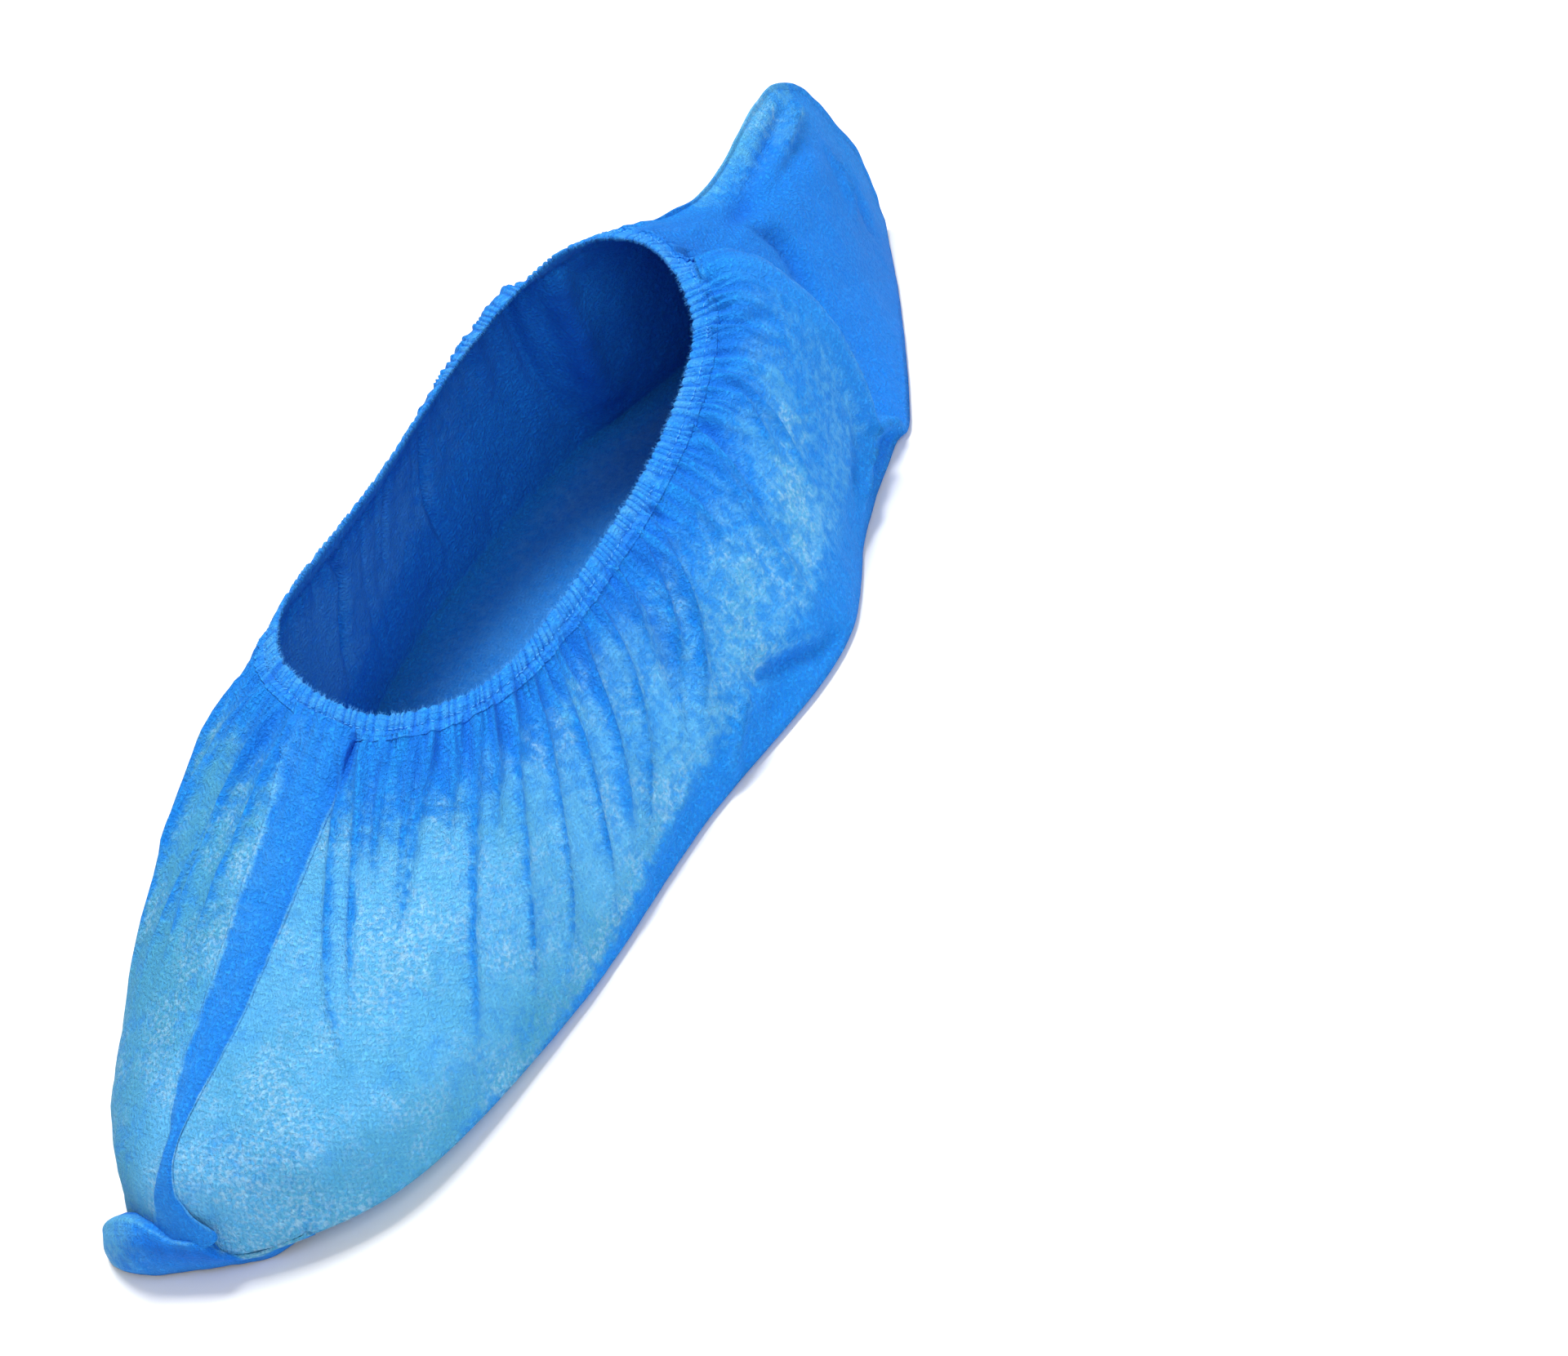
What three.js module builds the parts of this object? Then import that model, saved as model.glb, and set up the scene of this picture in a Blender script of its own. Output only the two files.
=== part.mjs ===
// Disposable shoe cover of non-woven cloth, in the shape it keeps while a low shoe fills it.
//
// Millimetres, +Z up, toe towards -Y, loose tail towards +Y. The origin lies on the inside of the sole,
// where the middle of the shoe stands. "near" is the +X side and "far" the -X side.
//
// The bag is one surface, charted by meridians and rings. A meridian runs from the mouth down the wall to
// the fold on the floor. A ring runs once around the cover, and all the rings have a corner at the tail.

import * as THREE from 'three';

// ---- driving dimensions ----------------------------------------------------------------------------
const CLOTH = 1.4; // wall thickness of the bag
const GAP = 0.4; // clearance between two pieces
const HEM_WIDTH = 7; // height of the gathered casing around the mouth
const HEM_THICKNESS = 2.4; // cloth, elastic and cloth again
const HEM_PROUD = 0.6; // how far the casing stands out from the wall below it
const SEAM_THICKNESS = 1.2; // two layers of cloth pressed together
const HEEL_SEAM_WIDTH = 5; // joined edge along the crest of the tail
const TAIL_START = 140; // Y where the hollow narrows into the tail
const TAIL_CLEARANCE = 0.6; // least distance of the inner walls from the middle plane of the tail
const CREST_SETBACK = 4; // the hollow of the tail ends this far inside its crest
const FOLD_SETBACK = 2.4; // the inner wall meets the sole this far inside the floor fold

// ---- facets ----------------------------------------------------------------------------------------
const SIDES_PER_SPAN = 5; // between two meridians
const WALL_ROWS = 15; // from the casing down to the floor fold
const SOLE_ROWS = 3; // from the floor fold to the middle of the sole

// ---- shape of the bag ------------------------------------------------------------------------------
// One row for each meridian, from the toe along the near side to the tail and back along the far side.
// The columns are the rings that it crosses: hem, shoulder, bulge, skirt and floor fold.
const MERIDIANS = {
  toe: [[3, -29, 69], [3, -61, 55], [3, -99, 41], [0, -136, 28], [-5, -145, 5]],
  nearToe: [[19, -30, 67], [25, -62, 51], [32, -90, 38], [41, -112, 24], [41, -121, 5]],
  nearBall: [[34, -14, 62], [42, -32, 50], [50, -48, 34], [55, -56, 16], [57, -60, 1]],
  nearArch: [[39, 14, 61], [45, 9, 49], [52, 5, 33], [58, 2, 15], [61, 4, 0]],
  nearHeel: [[38, 66, 61], [48, 66, 53], [58, 66, 38], [66, 66, 18], [71, 66, 0]],
  nearQuarter: [[33, 106, 66], [44, 113, 63], [52, 118, 46], [56, 115, 20], [57, 111, 0]],
  nearRidge: [[25, 122, 73], [37, 131, 71], [46, 139, 48], [48, 144, 20], [50, 146, 0]],
  nearValley: [[15, 132, 76], [18, 142, 64], [26, 152, 38], [38, 155, 14], [49, 158, 0]],
  nearTail: [[5, 137, 78], [10, 172, 58], [14, 204, 44], [19, 207, 20], [25, 205, 0]],
  tail: [[-4, 138, 78], [-2, 176, 60], [-1, 224, 62], [0, 243, 31], [0, 246, 1]],
  farTail: [[-13, 137, 78], [-14, 172, 57], [-16, 204, 44], [-20, 207, 20], [-25, 205, 0]],
  farValley: [[-23, 131, 76], [-28, 142, 62], [-32, 152, 38], [-40, 157, 14], [-48, 160, 0]],
  farRidge: [[-31, 119, 72], [-42, 127, 66], [-49, 134, 45], [-53, 138, 20], [-56, 140, 0]],
  farQuarter: [[-38, 98, 68], [-48, 104, 60], [-56, 108, 42], [-60, 107, 20], [-62, 104, 0]],
  farHeel: [[-42, 60, 63], [-49, 60, 52], [-56, 60, 36], [-60, 60, 18], [-64, 60, 0]],
  farArch: [[-43, 16, 63], [-48, 11, 53], [-52, 6, 36], [-54, 3, 18], [-56, 1, 0]],
  farBall: [[-30, -8, 67], [-42, -26, 58], [-48, -50, 41], [-50, -60, 20], [-51, -62, 1]],
  farToe: [[-14, -21, 69], [-25, -54, 57], [-33, -86, 41], [-38, -111, 22], [-37, -122, 5]],
};

// Main folds of the walls. "at" is the place around the cover, in meridians from the toe; the fold runs
// from "top" to "bottom", as parts of the way down the wall; a negative height is a dent.
const FOLDS = [
  { at: 1.25, top: 0.06, bottom: 0.55, height: 2.2, width: 0.22 },
  { at: 1.75, top: 0.06, bottom: 0.7, height: 1.8, width: 0.22 },
  { at: 2.3, top: 0.06, bottom: 0.75, height: 2.4, width: 0.22 },
  { at: 2.75, top: 0.05, bottom: 0.6, height: -2.0, width: 0.25 },
  { at: 3.3, top: 0.06, bottom: 1.0, height: 3.0, width: 0.3 },
  { at: 3.9, top: 0.06, bottom: 0.8, height: -2.0, width: 0.3 },
  { at: 4.5, top: 0.06, bottom: 0.8, height: 2.4, width: 0.3 },
  { at: 12.6, top: 0.06, bottom: 0.7, height: -2.0, width: 0.3 },
  { at: 13.4, top: 0.06, bottom: 0.9, height: 2.6, width: 0.3 },
  { at: 14.5, top: 0.06, bottom: 0.8, height: 2.2, width: 0.3 },
  { at: 15.5, top: 0.06, bottom: 0.9, height: -1.8, width: 0.25 },
];

// Doubled strip of the front seam, flat on the vamp: its width at each part of the way down.
const TOE_SEAM = [
  { down: 0.0, width: 15 },
  { down: 0.3, width: 17 },
  { down: 0.6, width: 10 },
  { down: 0.75, width: 3 },
  { down: 0.95, width: 6 },
];

// Loose front corner of the bag, curled up in front of the toe. One row for each section along it.
const TOE_CORNER = [
  { base: [18, -145, 6], belly: [20, -147, 9], rim: [17, -146, 12] },
  { base: [7, -148, 4], belly: [7, -151, 9], rim: [7, -148, 15] },
  { base: [-4, -149, 3], belly: [-5, -152.5, 9], rim: [-2, -149, 17] },
  { base: [-14, -148, 3], belly: [-16, -151, 9], rim: [-12, -148, 16] },
  { base: [-22, -145, 3], belly: [-24, -147, 8], rim: [-21, -145, 13] },
  { base: [-26, -142, 4], belly: [-28, -142, 7], rim: [-25, -142, 10] },
];

const sections = Object.values(MERIDIANS);
const SPANS = sections.length;
const SIDES = SPANS * SIDES_PER_SPAN;
const TAIL = Object.keys(MERIDIANS).indexOf('tail');
const LAST_RING = sections[0].length - 1;

// ---- curves ----------------------------------------------------------------------------------------
const vec = (point) => new THREE.Vector3(...point);

// Smooth curve from b to c, with a before them and d after them.
function through(a, b, c, d, t) {
  const [before, start, end, after] = [a, b, c, d];
  const out = new THREE.Vector3();
  for (const axis of ['x', 'y', 'z']) {
    const slopeIn = (end[axis] - before[axis]) / 2;
    const slopeOut = (after[axis] - start[axis]) / 2;
    const cubic = 2 * start[axis] - 2 * end[axis] + slopeIn + slopeOut;
    const square = 3 * (end[axis] - start[axis]) - 2 * slopeIn - slopeOut;
    out[axis] = start[axis] + t * (slopeIn + t * (square + t * cubic));
  }
  return out;
}

// The point past the end of a row of points, where the curve may run straight on.
const beyond = (end, previous) => end.clone().multiplyScalar(2).sub(previous);

// Point of a ring at a place around the cover. The ring turns a sharp corner at the tail.
function onRing(ring, around) {
  const place = ((around % SPANS) + SPANS) % SPANS;
  const span = Math.floor(place);
  const at = (index) => vec(sections[(index + SPANS) % SPANS][ring]);
  const [start, end] = [at(span), at(span + 1)];
  const before = span === TAIL ? beyond(start, end) : at(span - 1);
  const after = span + 1 === TAIL ? beyond(end, start) : at(span + 2);
  return through(before, start, end, after, place - span);
}

// Point of the smooth wall, from the mouth (down = 0) to the floor fold (down = 1).
function onSmoothWall(around, down) {
  const place = Math.min(down, 1) * LAST_RING;
  const span = Math.min(Math.floor(place), LAST_RING - 1);
  const at = (ring) => onRing(ring, around);
  const [start, end] = [at(span), at(span + 1)];
  const before = span === 0 ? beyond(start, end) : at(span - 1);
  const after = span + 1 === LAST_RING ? beyond(end, start) : at(span + 2);
  return through(before, start, end, after, place - span);
}

// Outward direction of the smooth wall, on one side of the tail's crest.
function outward(around, down, step = 0.05) {
  const side = around > TAIL - step && around <= TAIL ? -step : step;
  const here = onSmoothWall(around, down);
  const along = onSmoothWall(around + side, down).sub(here).multiplyScalar(Math.sign(side));
  const lower = down > 1 - step ? -step : step;
  const downward = onSmoothWall(around, down + lower).sub(here).multiplyScalar(Math.sign(lower));
  return downward.cross(along).normalize();
}

// How far the folds lift the wall off its smooth shape.
function foldHeight(around, down) {
  let height = 0;
  for (const fold of FOLDS) {
    const across = (around - fold.at) / fold.width;
    const along = (down - fold.top) / (fold.bottom - fold.top);
    if (along > 0 && along < 1) {
      height += fold.height * Math.exp(-across * across) * Math.sin(Math.PI * Math.sqrt(along));
    }
  }
  return height;
}

// Point at a distance outside the folded wall.
function onWall(around, down, distance = 0) {
  const lift = distance + foldHeight(around, down);
  return onSmoothWall(around, down).addScaledVector(outward(around, down), lift);
}

// The part of the way down the wall at which the wall has run a given length below the mouth.
function downAfter(around, length, step = 0.02) {
  const run = onSmoothWall(around, step).distanceTo(onSmoothWall(around, 0));
  return (length / run) * step;
}

const bodyTop = (around) => downAfter(around, HEM_WIDTH + GAP);
const bodyRow = (around, row) => THREE.MathUtils.lerp(bodyTop(around), 1, row / WALL_ROWS);

// ---- meshes ----------------------------------------------------------------------------------------
function solid(points, triangles) {
  const geometry = new THREE.BufferGeometry();
  const position = points.flatMap((point) => point.toArray());
  geometry.setAttribute('position', new THREE.Float32BufferAttribute(position, 3));
  geometry.setIndex(triangles.flat());
  geometry.computeVertexNormals();
  return geometry;
}

const quad = (a, b, c, d) => [[a, b, c], [a, c, d]];

// Closed tube through sections of equal length, each a ring of points whose second half runs back along
// the first. A loop joins its last section to its first, and otherwise both ends are capped.
function tube(rows, loop) {
  const width = rows[0].length;
  const triangles = [];
  const count = loop ? rows.length : rows.length - 1;
  for (let row = 0; row < count; row += 1) {
    for (let column = 0; column < width; column += 1) {
      const right = (column + 1) % width;
      const [here, next] = [row * width, ((row + 1) % rows.length) * width];
      triangles.push(...quad(here + column, here + right, next + right, next + column));
    }
  }
  if (!loop) {
    const last = (rows.length - 1) * width;
    for (let column = 0; column + 1 < width / 2; column += 1) {
      const [right, across, back] = [column + 1, width - 2 - column, width - 1 - column];
      triangles.push(...quad(column, back, across, right));
      triangles.push(...quad(last + column, last + right, last + across, last + back));
    }
  }
  return solid(rows.flat(), triangles);
}

// ---- the bag ---------------------------------------------------------------------------------------
// Outer skin: rows of points down the wall, then under the sole to its middle line, which the two
// sides share.
function bagSkin() {
  const points = [];
  const rows = [];
  for (let row = 0; row <= WALL_ROWS; row += 1) {
    rows.push([]);
    for (let side = 0; side < SIDES; side += 1) {
      const around = side / SIDES_PER_SPAN;
      rows[row].push(points.push(onWall(around, bodyRow(around, row))) - 1);
    }
  }
  const tailSide = TAIL * SIDES_PER_SPAN;
  const foldAt = (side) => points[rows[WALL_ROWS][side % SIDES]];
  const middle = [];
  for (let side = 0; side <= tailSide; side += 1) {
    const centre = foldAt(side).clone().add(foldAt(SIDES - side)).multiplyScalar(0.5);
    middle.push(new THREE.Vector3(centre.x * 0.5, centre.y * 0.94, Math.min(centre.z, 4) - CLOTH));
  }
  const middleOf = (side) => middle[Math.min(side, SIDES - side)];
  for (let row = 1; row < SOLE_ROWS; row += 1) {
    rows.push([]);
    for (let side = 0; side < SIDES; side += 1) {
      const fold = foldAt(side);
      const point = fold.clone().lerp(middleOf(side), row / SOLE_ROWS);
      point.z = THREE.MathUtils.lerp(Math.min(fold.z, 4), middleOf(side).z + CLOTH, row / SOLE_ROWS) - CLOTH;
      rows[rows.length - 1].push(points.push(point) - 1);
    }
  }
  const first = points.length;
  points.push(...middle);
  rows.push(Array.from({ length: SIDES }, (_, side) => first + Math.min(side, SIDES - side)));
  return { points, rows };
}

function skinTriangles(rows) {
  const triangles = [];
  for (let row = 0; row + 1 < rows.length; row += 1) {
    for (let side = 0; side < SIDES; side += 1) {
      const next = (side + 1) % SIDES;
      triangles.push(...quad(rows[row][side], rows[row + 1][side], rows[row + 1][next], rows[row][next]));
    }
  }
  return triangles;
}

// Inner skin: each point goes in by the thickness of the cloth, measured square to the walls around it.
function innerPoints(skin, triangles) {
  const geometry = solid(skin.points, triangles);
  const normals = geometry.getAttribute('normal');
  const nearest = new Map();
  skin.rows.forEach((row) => row.forEach((index, side) => nearest.set(index, side)));
  const tailSide = TAIL * SIDES_PER_SPAN;
  const floorFold = new Set(skin.rows[WALL_ROWS]);
  return skin.points.map((point, index) => {
    const normal = new THREE.Vector3().fromBufferAttribute(normals, index);
    const side = nearest.get(index);
    const inside = point.clone().addScaledVector(normal, -CLOTH);
    if (floorFold.has(index)) {
      const middle = skin.points[skin.rows[skin.rows.length - 1][side]];
      const inward = middle.clone().sub(point).setZ(0).normalize();
      inside.copy(point).addScaledVector(inward, FOLD_SETBACK).setZ(point.z + CLOTH / 2);
    } else if (side === tailSide) {
      inside.addScaledVector(normal.setX(0).normalize(), -CREST_SETBACK);
    } else if (point.y > TAIL_START && side < tailSide) {
      inside.x = Math.max(inside.x, TAIL_CLEARANCE);
    } else if (point.y > TAIL_START) {
      inside.x = Math.min(inside.x, -TAIL_CLEARANCE);
    }
    return inside;
  });
}

function bag() {
  const skin = bagSkin();
  const outer = skinTriangles(skin.rows);
  const shift = skin.points.length;
  const inner = outer.map(([a, b, c]) => [a + shift, c + shift, b + shift]);
  const rim = [];
  for (let side = 0; side < SIDES; side += 1) {
    const [here, next] = [skin.rows[0][side], skin.rows[0][(side + 1) % SIDES]];
    rim.push(...quad(here, next, next + shift, here + shift));
  }
  return solid([...skin.points, ...innerPoints(skin, outer)], [...outer, ...inner, ...rim]);
}

// ---- the other pieces ------------------------------------------------------------------------------
// Gathered casing with the elastic, around the mouth.
function hemCasing() {
  const rows = [];
  for (let side = 0; side < SIDES; side += 1) {
    const around = side / SIDES_PER_SPAN;
    const bottom = downAfter(around, HEM_WIDTH);
    const at = (down, distance) => onSmoothWall(around, down).addScaledVector(outward(around, down), distance);
    const inner = HEM_PROUD - HEM_THICKNESS;
    rows.push([
      at(0, HEM_PROUD * 0.5), at(bottom / 2, HEM_PROUD), at(bottom, HEM_PROUD * 0.5),
      at(bottom, inner), at(bottom / 2, inner - 0.3), at(0, inner),
    ]);
  }
  return tube(rows, true);
}

// Width of the front seam's strip at a part of the way down.
function toeSeamWidth(down) {
  const next = TOE_SEAM.findIndex((row) => row.down >= down);
  const [from, to] = [TOE_SEAM[Math.max(next - 1, 0)], TOE_SEAM[next]];
  const part = to === from ? 0 : (down - from.down) / (to.down - from.down);
  return THREE.MathUtils.lerp(from.width, to.width, part);
}

function toeSeam() {
  const rows = [];
  const bottom = TOE_SEAM[TOE_SEAM.length - 1].down;
  for (let row = 0; bodyRow(0, row) < bottom; row += 1) {
    const down = bodyRow(0, row);
    const perSpan = onWall(0.25, down).distanceTo(onWall(-0.25, down)) * 2;
    const half = toeSeamWidth(down) / perSpan / 2;
    const places = [-half, -half / 2, 0, half / 2, half];
    const under = places.map((place) => onWall(place, down, GAP + 0.1));
    const over = places.map((place) => onWall(place, down, GAP + 0.1 + SEAM_THICKNESS)).reverse();
    rows.push([...under, ...over]);
  }
  return tube(rows, false);
}

// Curled corner of the bag in front of the toe.
function toeCorner() {
  const rows = TOE_CORNER.map(({ base, belly, rim }) => {
    const face = [vec(base), vec(belly), vec(rim)];
    const back = face.map((point) => point.clone().add(new THREE.Vector3(0, CLOTH, 0))).reverse();
    return [...face, ...back];
  });
  return tube(rows, false);
}

// Joined edge that closes the bag behind the heel, standing off the crest of the tail.
function heelSeam() {
  const rows = [];
  const half = new THREE.Vector3(SEAM_THICKNESS / 2, 0, 0);
  for (let row = 1; row < WALL_ROWS; row += 1) {
    const down = bodyRow(TAIL, row);
    const before = onSmoothWall(TAIL, bodyRow(TAIL, row - 1));
    const after = onSmoothWall(TAIL, bodyRow(TAIL, row + 1));
    const run = after.sub(before).setX(0).normalize();
    const out = new THREE.Vector3(0, run.z, -run.y).multiplyScalar(-1);
    const crest = onSmoothWall(TAIL, down);
    const root = crest.clone().addScaledVector(out, GAP);
    const edge = crest.clone().addScaledVector(out, HEEL_SEAM_WIDTH);
    rows.push([
      root.clone().sub(half), edge.clone().sub(half), edge.clone().add(half), root.clone().add(half),
    ]);
  }
  return tube(rows, false);
}

// ---- assembly --------------------------------------------------------------------------------------
const cloth = new THREE.MeshStandardMaterial({ color: 0x2f8fe4, roughness: 0.9, metalness: 0 });
const doubled = new THREE.MeshStandardMaterial({ color: 0x1670dc, roughness: 0.9, metalness: 0 });

function piece(name, geometry, material) {
  const mesh = new THREE.Mesh(geometry, material);
  mesh.name = name;
  return mesh;
}

const cover = new THREE.Group();
cover.add(
  piece('cover_body', bag(), cloth),
  piece('elastic_hem', hemCasing(), doubled),
  piece('toe_seam', toeSeam(), doubled),
  piece('toe_corner', toeCorner(), doubled),
  piece('heel_seam', heelSeam(), doubled),
);

export default cover;
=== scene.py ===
"""Disposable shoe cover of thin spunbond cloth, in the shape that it keeps while a shoe fills it.

The bag is charted by two numbers: "around", counted in meridians from the toe along the near side to
the tail and back, and "down", from the mouth (0) to the fold on the floor (1). Sizes are in millimetres
until a mesh is written, which is in metres.
"""

import logging
import math
import random
from dataclasses import dataclass, field
from enum import Enum

import bpy
import numpy as np
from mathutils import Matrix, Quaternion, Vector, noise


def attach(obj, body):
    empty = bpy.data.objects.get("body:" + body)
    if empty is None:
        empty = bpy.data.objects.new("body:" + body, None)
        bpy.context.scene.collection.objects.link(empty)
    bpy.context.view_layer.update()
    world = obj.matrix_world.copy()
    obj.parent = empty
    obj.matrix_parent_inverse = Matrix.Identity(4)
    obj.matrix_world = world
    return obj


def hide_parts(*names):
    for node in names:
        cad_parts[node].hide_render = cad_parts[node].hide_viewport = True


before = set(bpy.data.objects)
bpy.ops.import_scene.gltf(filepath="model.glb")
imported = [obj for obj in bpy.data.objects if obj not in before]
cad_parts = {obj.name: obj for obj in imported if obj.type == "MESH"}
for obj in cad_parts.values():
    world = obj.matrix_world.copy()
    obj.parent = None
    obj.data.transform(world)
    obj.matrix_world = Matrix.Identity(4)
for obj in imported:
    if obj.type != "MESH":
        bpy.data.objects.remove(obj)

MM = 0.001
log = logging.getLogger("shoe_cover")

Array = np.ndarray
Colour = tuple[float, float, float, float]
Place = tuple[float, float]


def colour(code: str) -> Colour:
    """Linear colour of a hex code.

    Args:
        code: Six hex digits, in sRGB.

    Returns:
        Red, green, blue and alpha.
    """
    channels = [int(code[i : i + 2], 16) / 255 for i in (0, 2, 4)]
    linear = [c / 12.92 if c <= 0.04045 else ((c + 0.055) / 1.055) ** 2.4 for c in channels]
    return (*linear, 1.0)


def ease(start: float, end: float, value: Array) -> Array:
    """Smooth step of value from 0 at start to 1 at end."""
    part = np.clip((value - start) / (end - start), 0.0, 1.0)
    return part * part * (3 - 2 * part)


def unit(vectors: Array) -> Array:
    """Vectors scaled to length one."""
    return vectors / np.maximum(np.linalg.norm(vectors, axis=-1, keepdims=True), 1e-12)


def rough(points: Array, size: float, octaves: int = 2) -> Array:
    """Random relief, from about -1 to 1.

    Args:
        points: Places in millimetres, one in each row.
        size: Distance between two bumps, in millimetres.
        octaves: How many finer layers are added up.

    Returns:
        One number for each point.
    """
    flat = points.reshape(-1, 3) / size
    values = [noise.fractal(Vector(p), 1.0, 2.0, octaves) for p in flat]
    return np.array(values).reshape(points.shape[:-1])


def through(before: Array, start: Array, end: Array, after: Array, part: Array) -> Array:
    """Smooth curve between two points.

    Args:
        before: Point before the start.
        start: Where the curve starts.
        end: Where it ends.
        after: Point after the end.
        part: How far along the curve, from 0 to 1.

    Returns:
        Points of the curve.
    """
    slope_in, slope_out = (end - before) / 2, (after - start) / 2
    square = 3 * (end - start) - 2 * slope_in - slope_out
    cubic = 2 * start - 2 * end + slope_in + slope_out
    return start + part * (slope_in + part * (square + part * cubic))


def relax(line: Array, passes: int) -> None:
    """Rounds the turns of a line of points in place, as often as passes says; its ends stay."""
    for _ in range(passes):
        line[1:-1] = (line[:-2] + 2 * line[1:-1] + line[2:]) / 4


def run_along(points: Array) -> Array:
    """Distance from the first point along a line of points, or down each column of a grid of them."""
    steps = np.linalg.norm(np.diff(points, axis=0), axis=-1)
    return np.concatenate([np.zeros_like(steps[:1]), np.cumsum(steps, axis=0)])


def linked(name: str, data: bpy.types.ID) -> bpy.types.Object:
    """Makes an object and links it to the scene.

    Args:
        name: Its name.
        data: Its mesh, camera or light.

    Returns:
        The object.
    """
    made = bpy.data.objects.new(name, data)
    bpy.context.scene.collection.objects.link(made)
    return made


def aim(piece: bpy.types.Object, place: Vector, direction: Vector, roll: float = 0.0) -> None:
    """Sets a camera or a lamp at its place.

    Args:
        piece: The camera or lamp.
        place: Where it stands, in metres.
        direction: Where it looks.
        roll: How far it is turned about its own axis, in radians.
    """
    piece.location = place
    piece.rotation_mode = "QUATERNION"
    piece.rotation_quaternion = direction.to_track_quat("-Z", "Y") @ Quaternion((0, 0, 1), roll)


# ---- the shape of the bag ---------------------------------------------------------------------------


@dataclass
class CoverShape:
    """Smooth wall of the bag, given by the meridians that run from its mouth to the floor.

    Each meridian crosses five rings: hem, shoulder, bulge, skirt and floor fold. All the rings have a
    corner at the tail.
    """

    meridians: dict[str, list[tuple[float, float, float]]] = field(default_factory=lambda: {
        "toe": [(3, -29, 69), (3, -61, 55), (3, -99, 41), (0, -136, 28), (-5, -145, 5)],
        "near_toe": [(19, -30, 67), (25, -62, 51), (32, -90, 38), (41, -112, 24), (41, -121, 5)],
        "near_ball": [(34, -14, 62), (42, -32, 50), (50, -48, 34), (55, -56, 16), (57, -60, 1)],
        "near_arch": [(39, 14, 61), (45, 9, 49), (52, 5, 33), (58, 2, 15), (61, 4, 0)],
        "near_heel": [(38, 66, 61), (48, 66, 53), (58, 66, 38), (66, 66, 18), (71, 66, 0)],
        "near_quarter": [(33, 106, 66), (44, 113, 63), (52, 118, 46), (56, 115, 20), (57, 111, 0)],
        "near_ridge": [(25, 122, 73), (37, 131, 71), (46, 139, 48), (48, 144, 20), (50, 146, 0)],
        "near_valley": [(15, 132, 76), (18, 142, 64), (26, 152, 38), (38, 155, 14), (49, 158, 0)],
        "near_tail": [(5, 137, 78), (10, 172, 58), (14, 204, 44), (19, 207, 20), (25, 205, 0)],
        "tail": [(-4, 138, 79), (-2, 178, 62.5), (-1, 226, 64.5), (0, 245.5, 31.5), (0, 248.5, 1)],
        "far_tail": [(-13, 137, 78), (-14, 172, 57), (-16, 204, 44), (-20, 207, 20), (-25, 205, 0)],
        "far_valley": [(-23, 131, 76), (-28, 142, 62), (-32, 152, 38), (-40, 157, 14), (-48, 160, 0)],
        "far_ridge": [(-31, 119, 72), (-42, 127, 66), (-49, 134, 45), (-53, 138, 20), (-56, 140, 0)],
        "far_quarter": [(-38, 98, 68), (-48, 104, 60), (-56, 108, 42), (-60, 107, 20), (-62, 104, 0)],
        "far_heel": [(-42, 60, 63), (-49, 60, 52), (-56, 60, 36), (-60, 60, 18), (-64, 60, 0)],
        "far_arch": [(-43, 16, 63), (-48, 11, 53), (-52, 6, 36), (-54, 3, 18), (-56, 1, 0)],
        "far_ball": [(-30, -8, 67), (-42, -26, 58), (-48, -50, 41), (-50, -60, 20), (-51, -62, 1)],
        "far_toe": [(-14, -21, 69), (-25, -54, 57), (-33, -86, 41), (-38, -111, 22), (-37, -122, 5)],
    })

    def __post_init__(self) -> None:
        """Lays the meridians out as one table."""
        self.table = np.array(list(self.meridians.values()), float)
        self.spans, self.rings = self.table.shape[:2]
        self.tail = list(self.meridians).index("tail")

    def ring(self, index: int, around: Array) -> Array:
        """Points of one ring.

        Args:
            index: Number of the ring, from the hem down.
            around: Places around the cover.

        Returns:
            A point for each place, in millimetres.
        """
        place = np.mod(around, self.spans)
        span = np.floor(place).astype(int)
        row = self.table[:, index]
        before, start, end, after = (row[(span + step) % self.spans] for step in (-1, 0, 1, 2))
        before = np.where((span == self.tail)[..., None], 2 * start - end, before)
        after = np.where((span + 1 == self.tail)[..., None], 2 * end - start, after)
        return through(before, start, end, after, (place - span)[..., None])

    def wall(self, around: Array, down: Array) -> Array:
        """Points of the smooth wall.

        Args:
            around: Places around the cover.
            down: Parts of the way down.

        Returns:
            A point for each place, in millimetres.
        """
        around, down = np.broadcast_arrays(np.asarray(around, float), np.asarray(down, float))
        rings = np.stack([self.ring(index, around) for index in range(self.rings)], -2)
        place = np.clip(down, 0, 1) * (self.rings - 1)
        span = np.minimum(np.floor(place).astype(int), self.rings - 2)

        def at(index: Array) -> Array:
            """Points of the rings with these numbers."""
            inside = np.clip(index, 0, self.rings - 1)[..., None, None]
            return np.take_along_axis(rings, inside, -2)[..., 0, :]

        start, end = at(span), at(span + 1)
        before = np.where((span == 0)[..., None], 2 * start - end, at(span - 1))
        after = np.where((span == self.rings - 2)[..., None], 2 * end - start, at(span + 2))
        return through(before, start, end, after, (place - span)[..., None])

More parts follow.
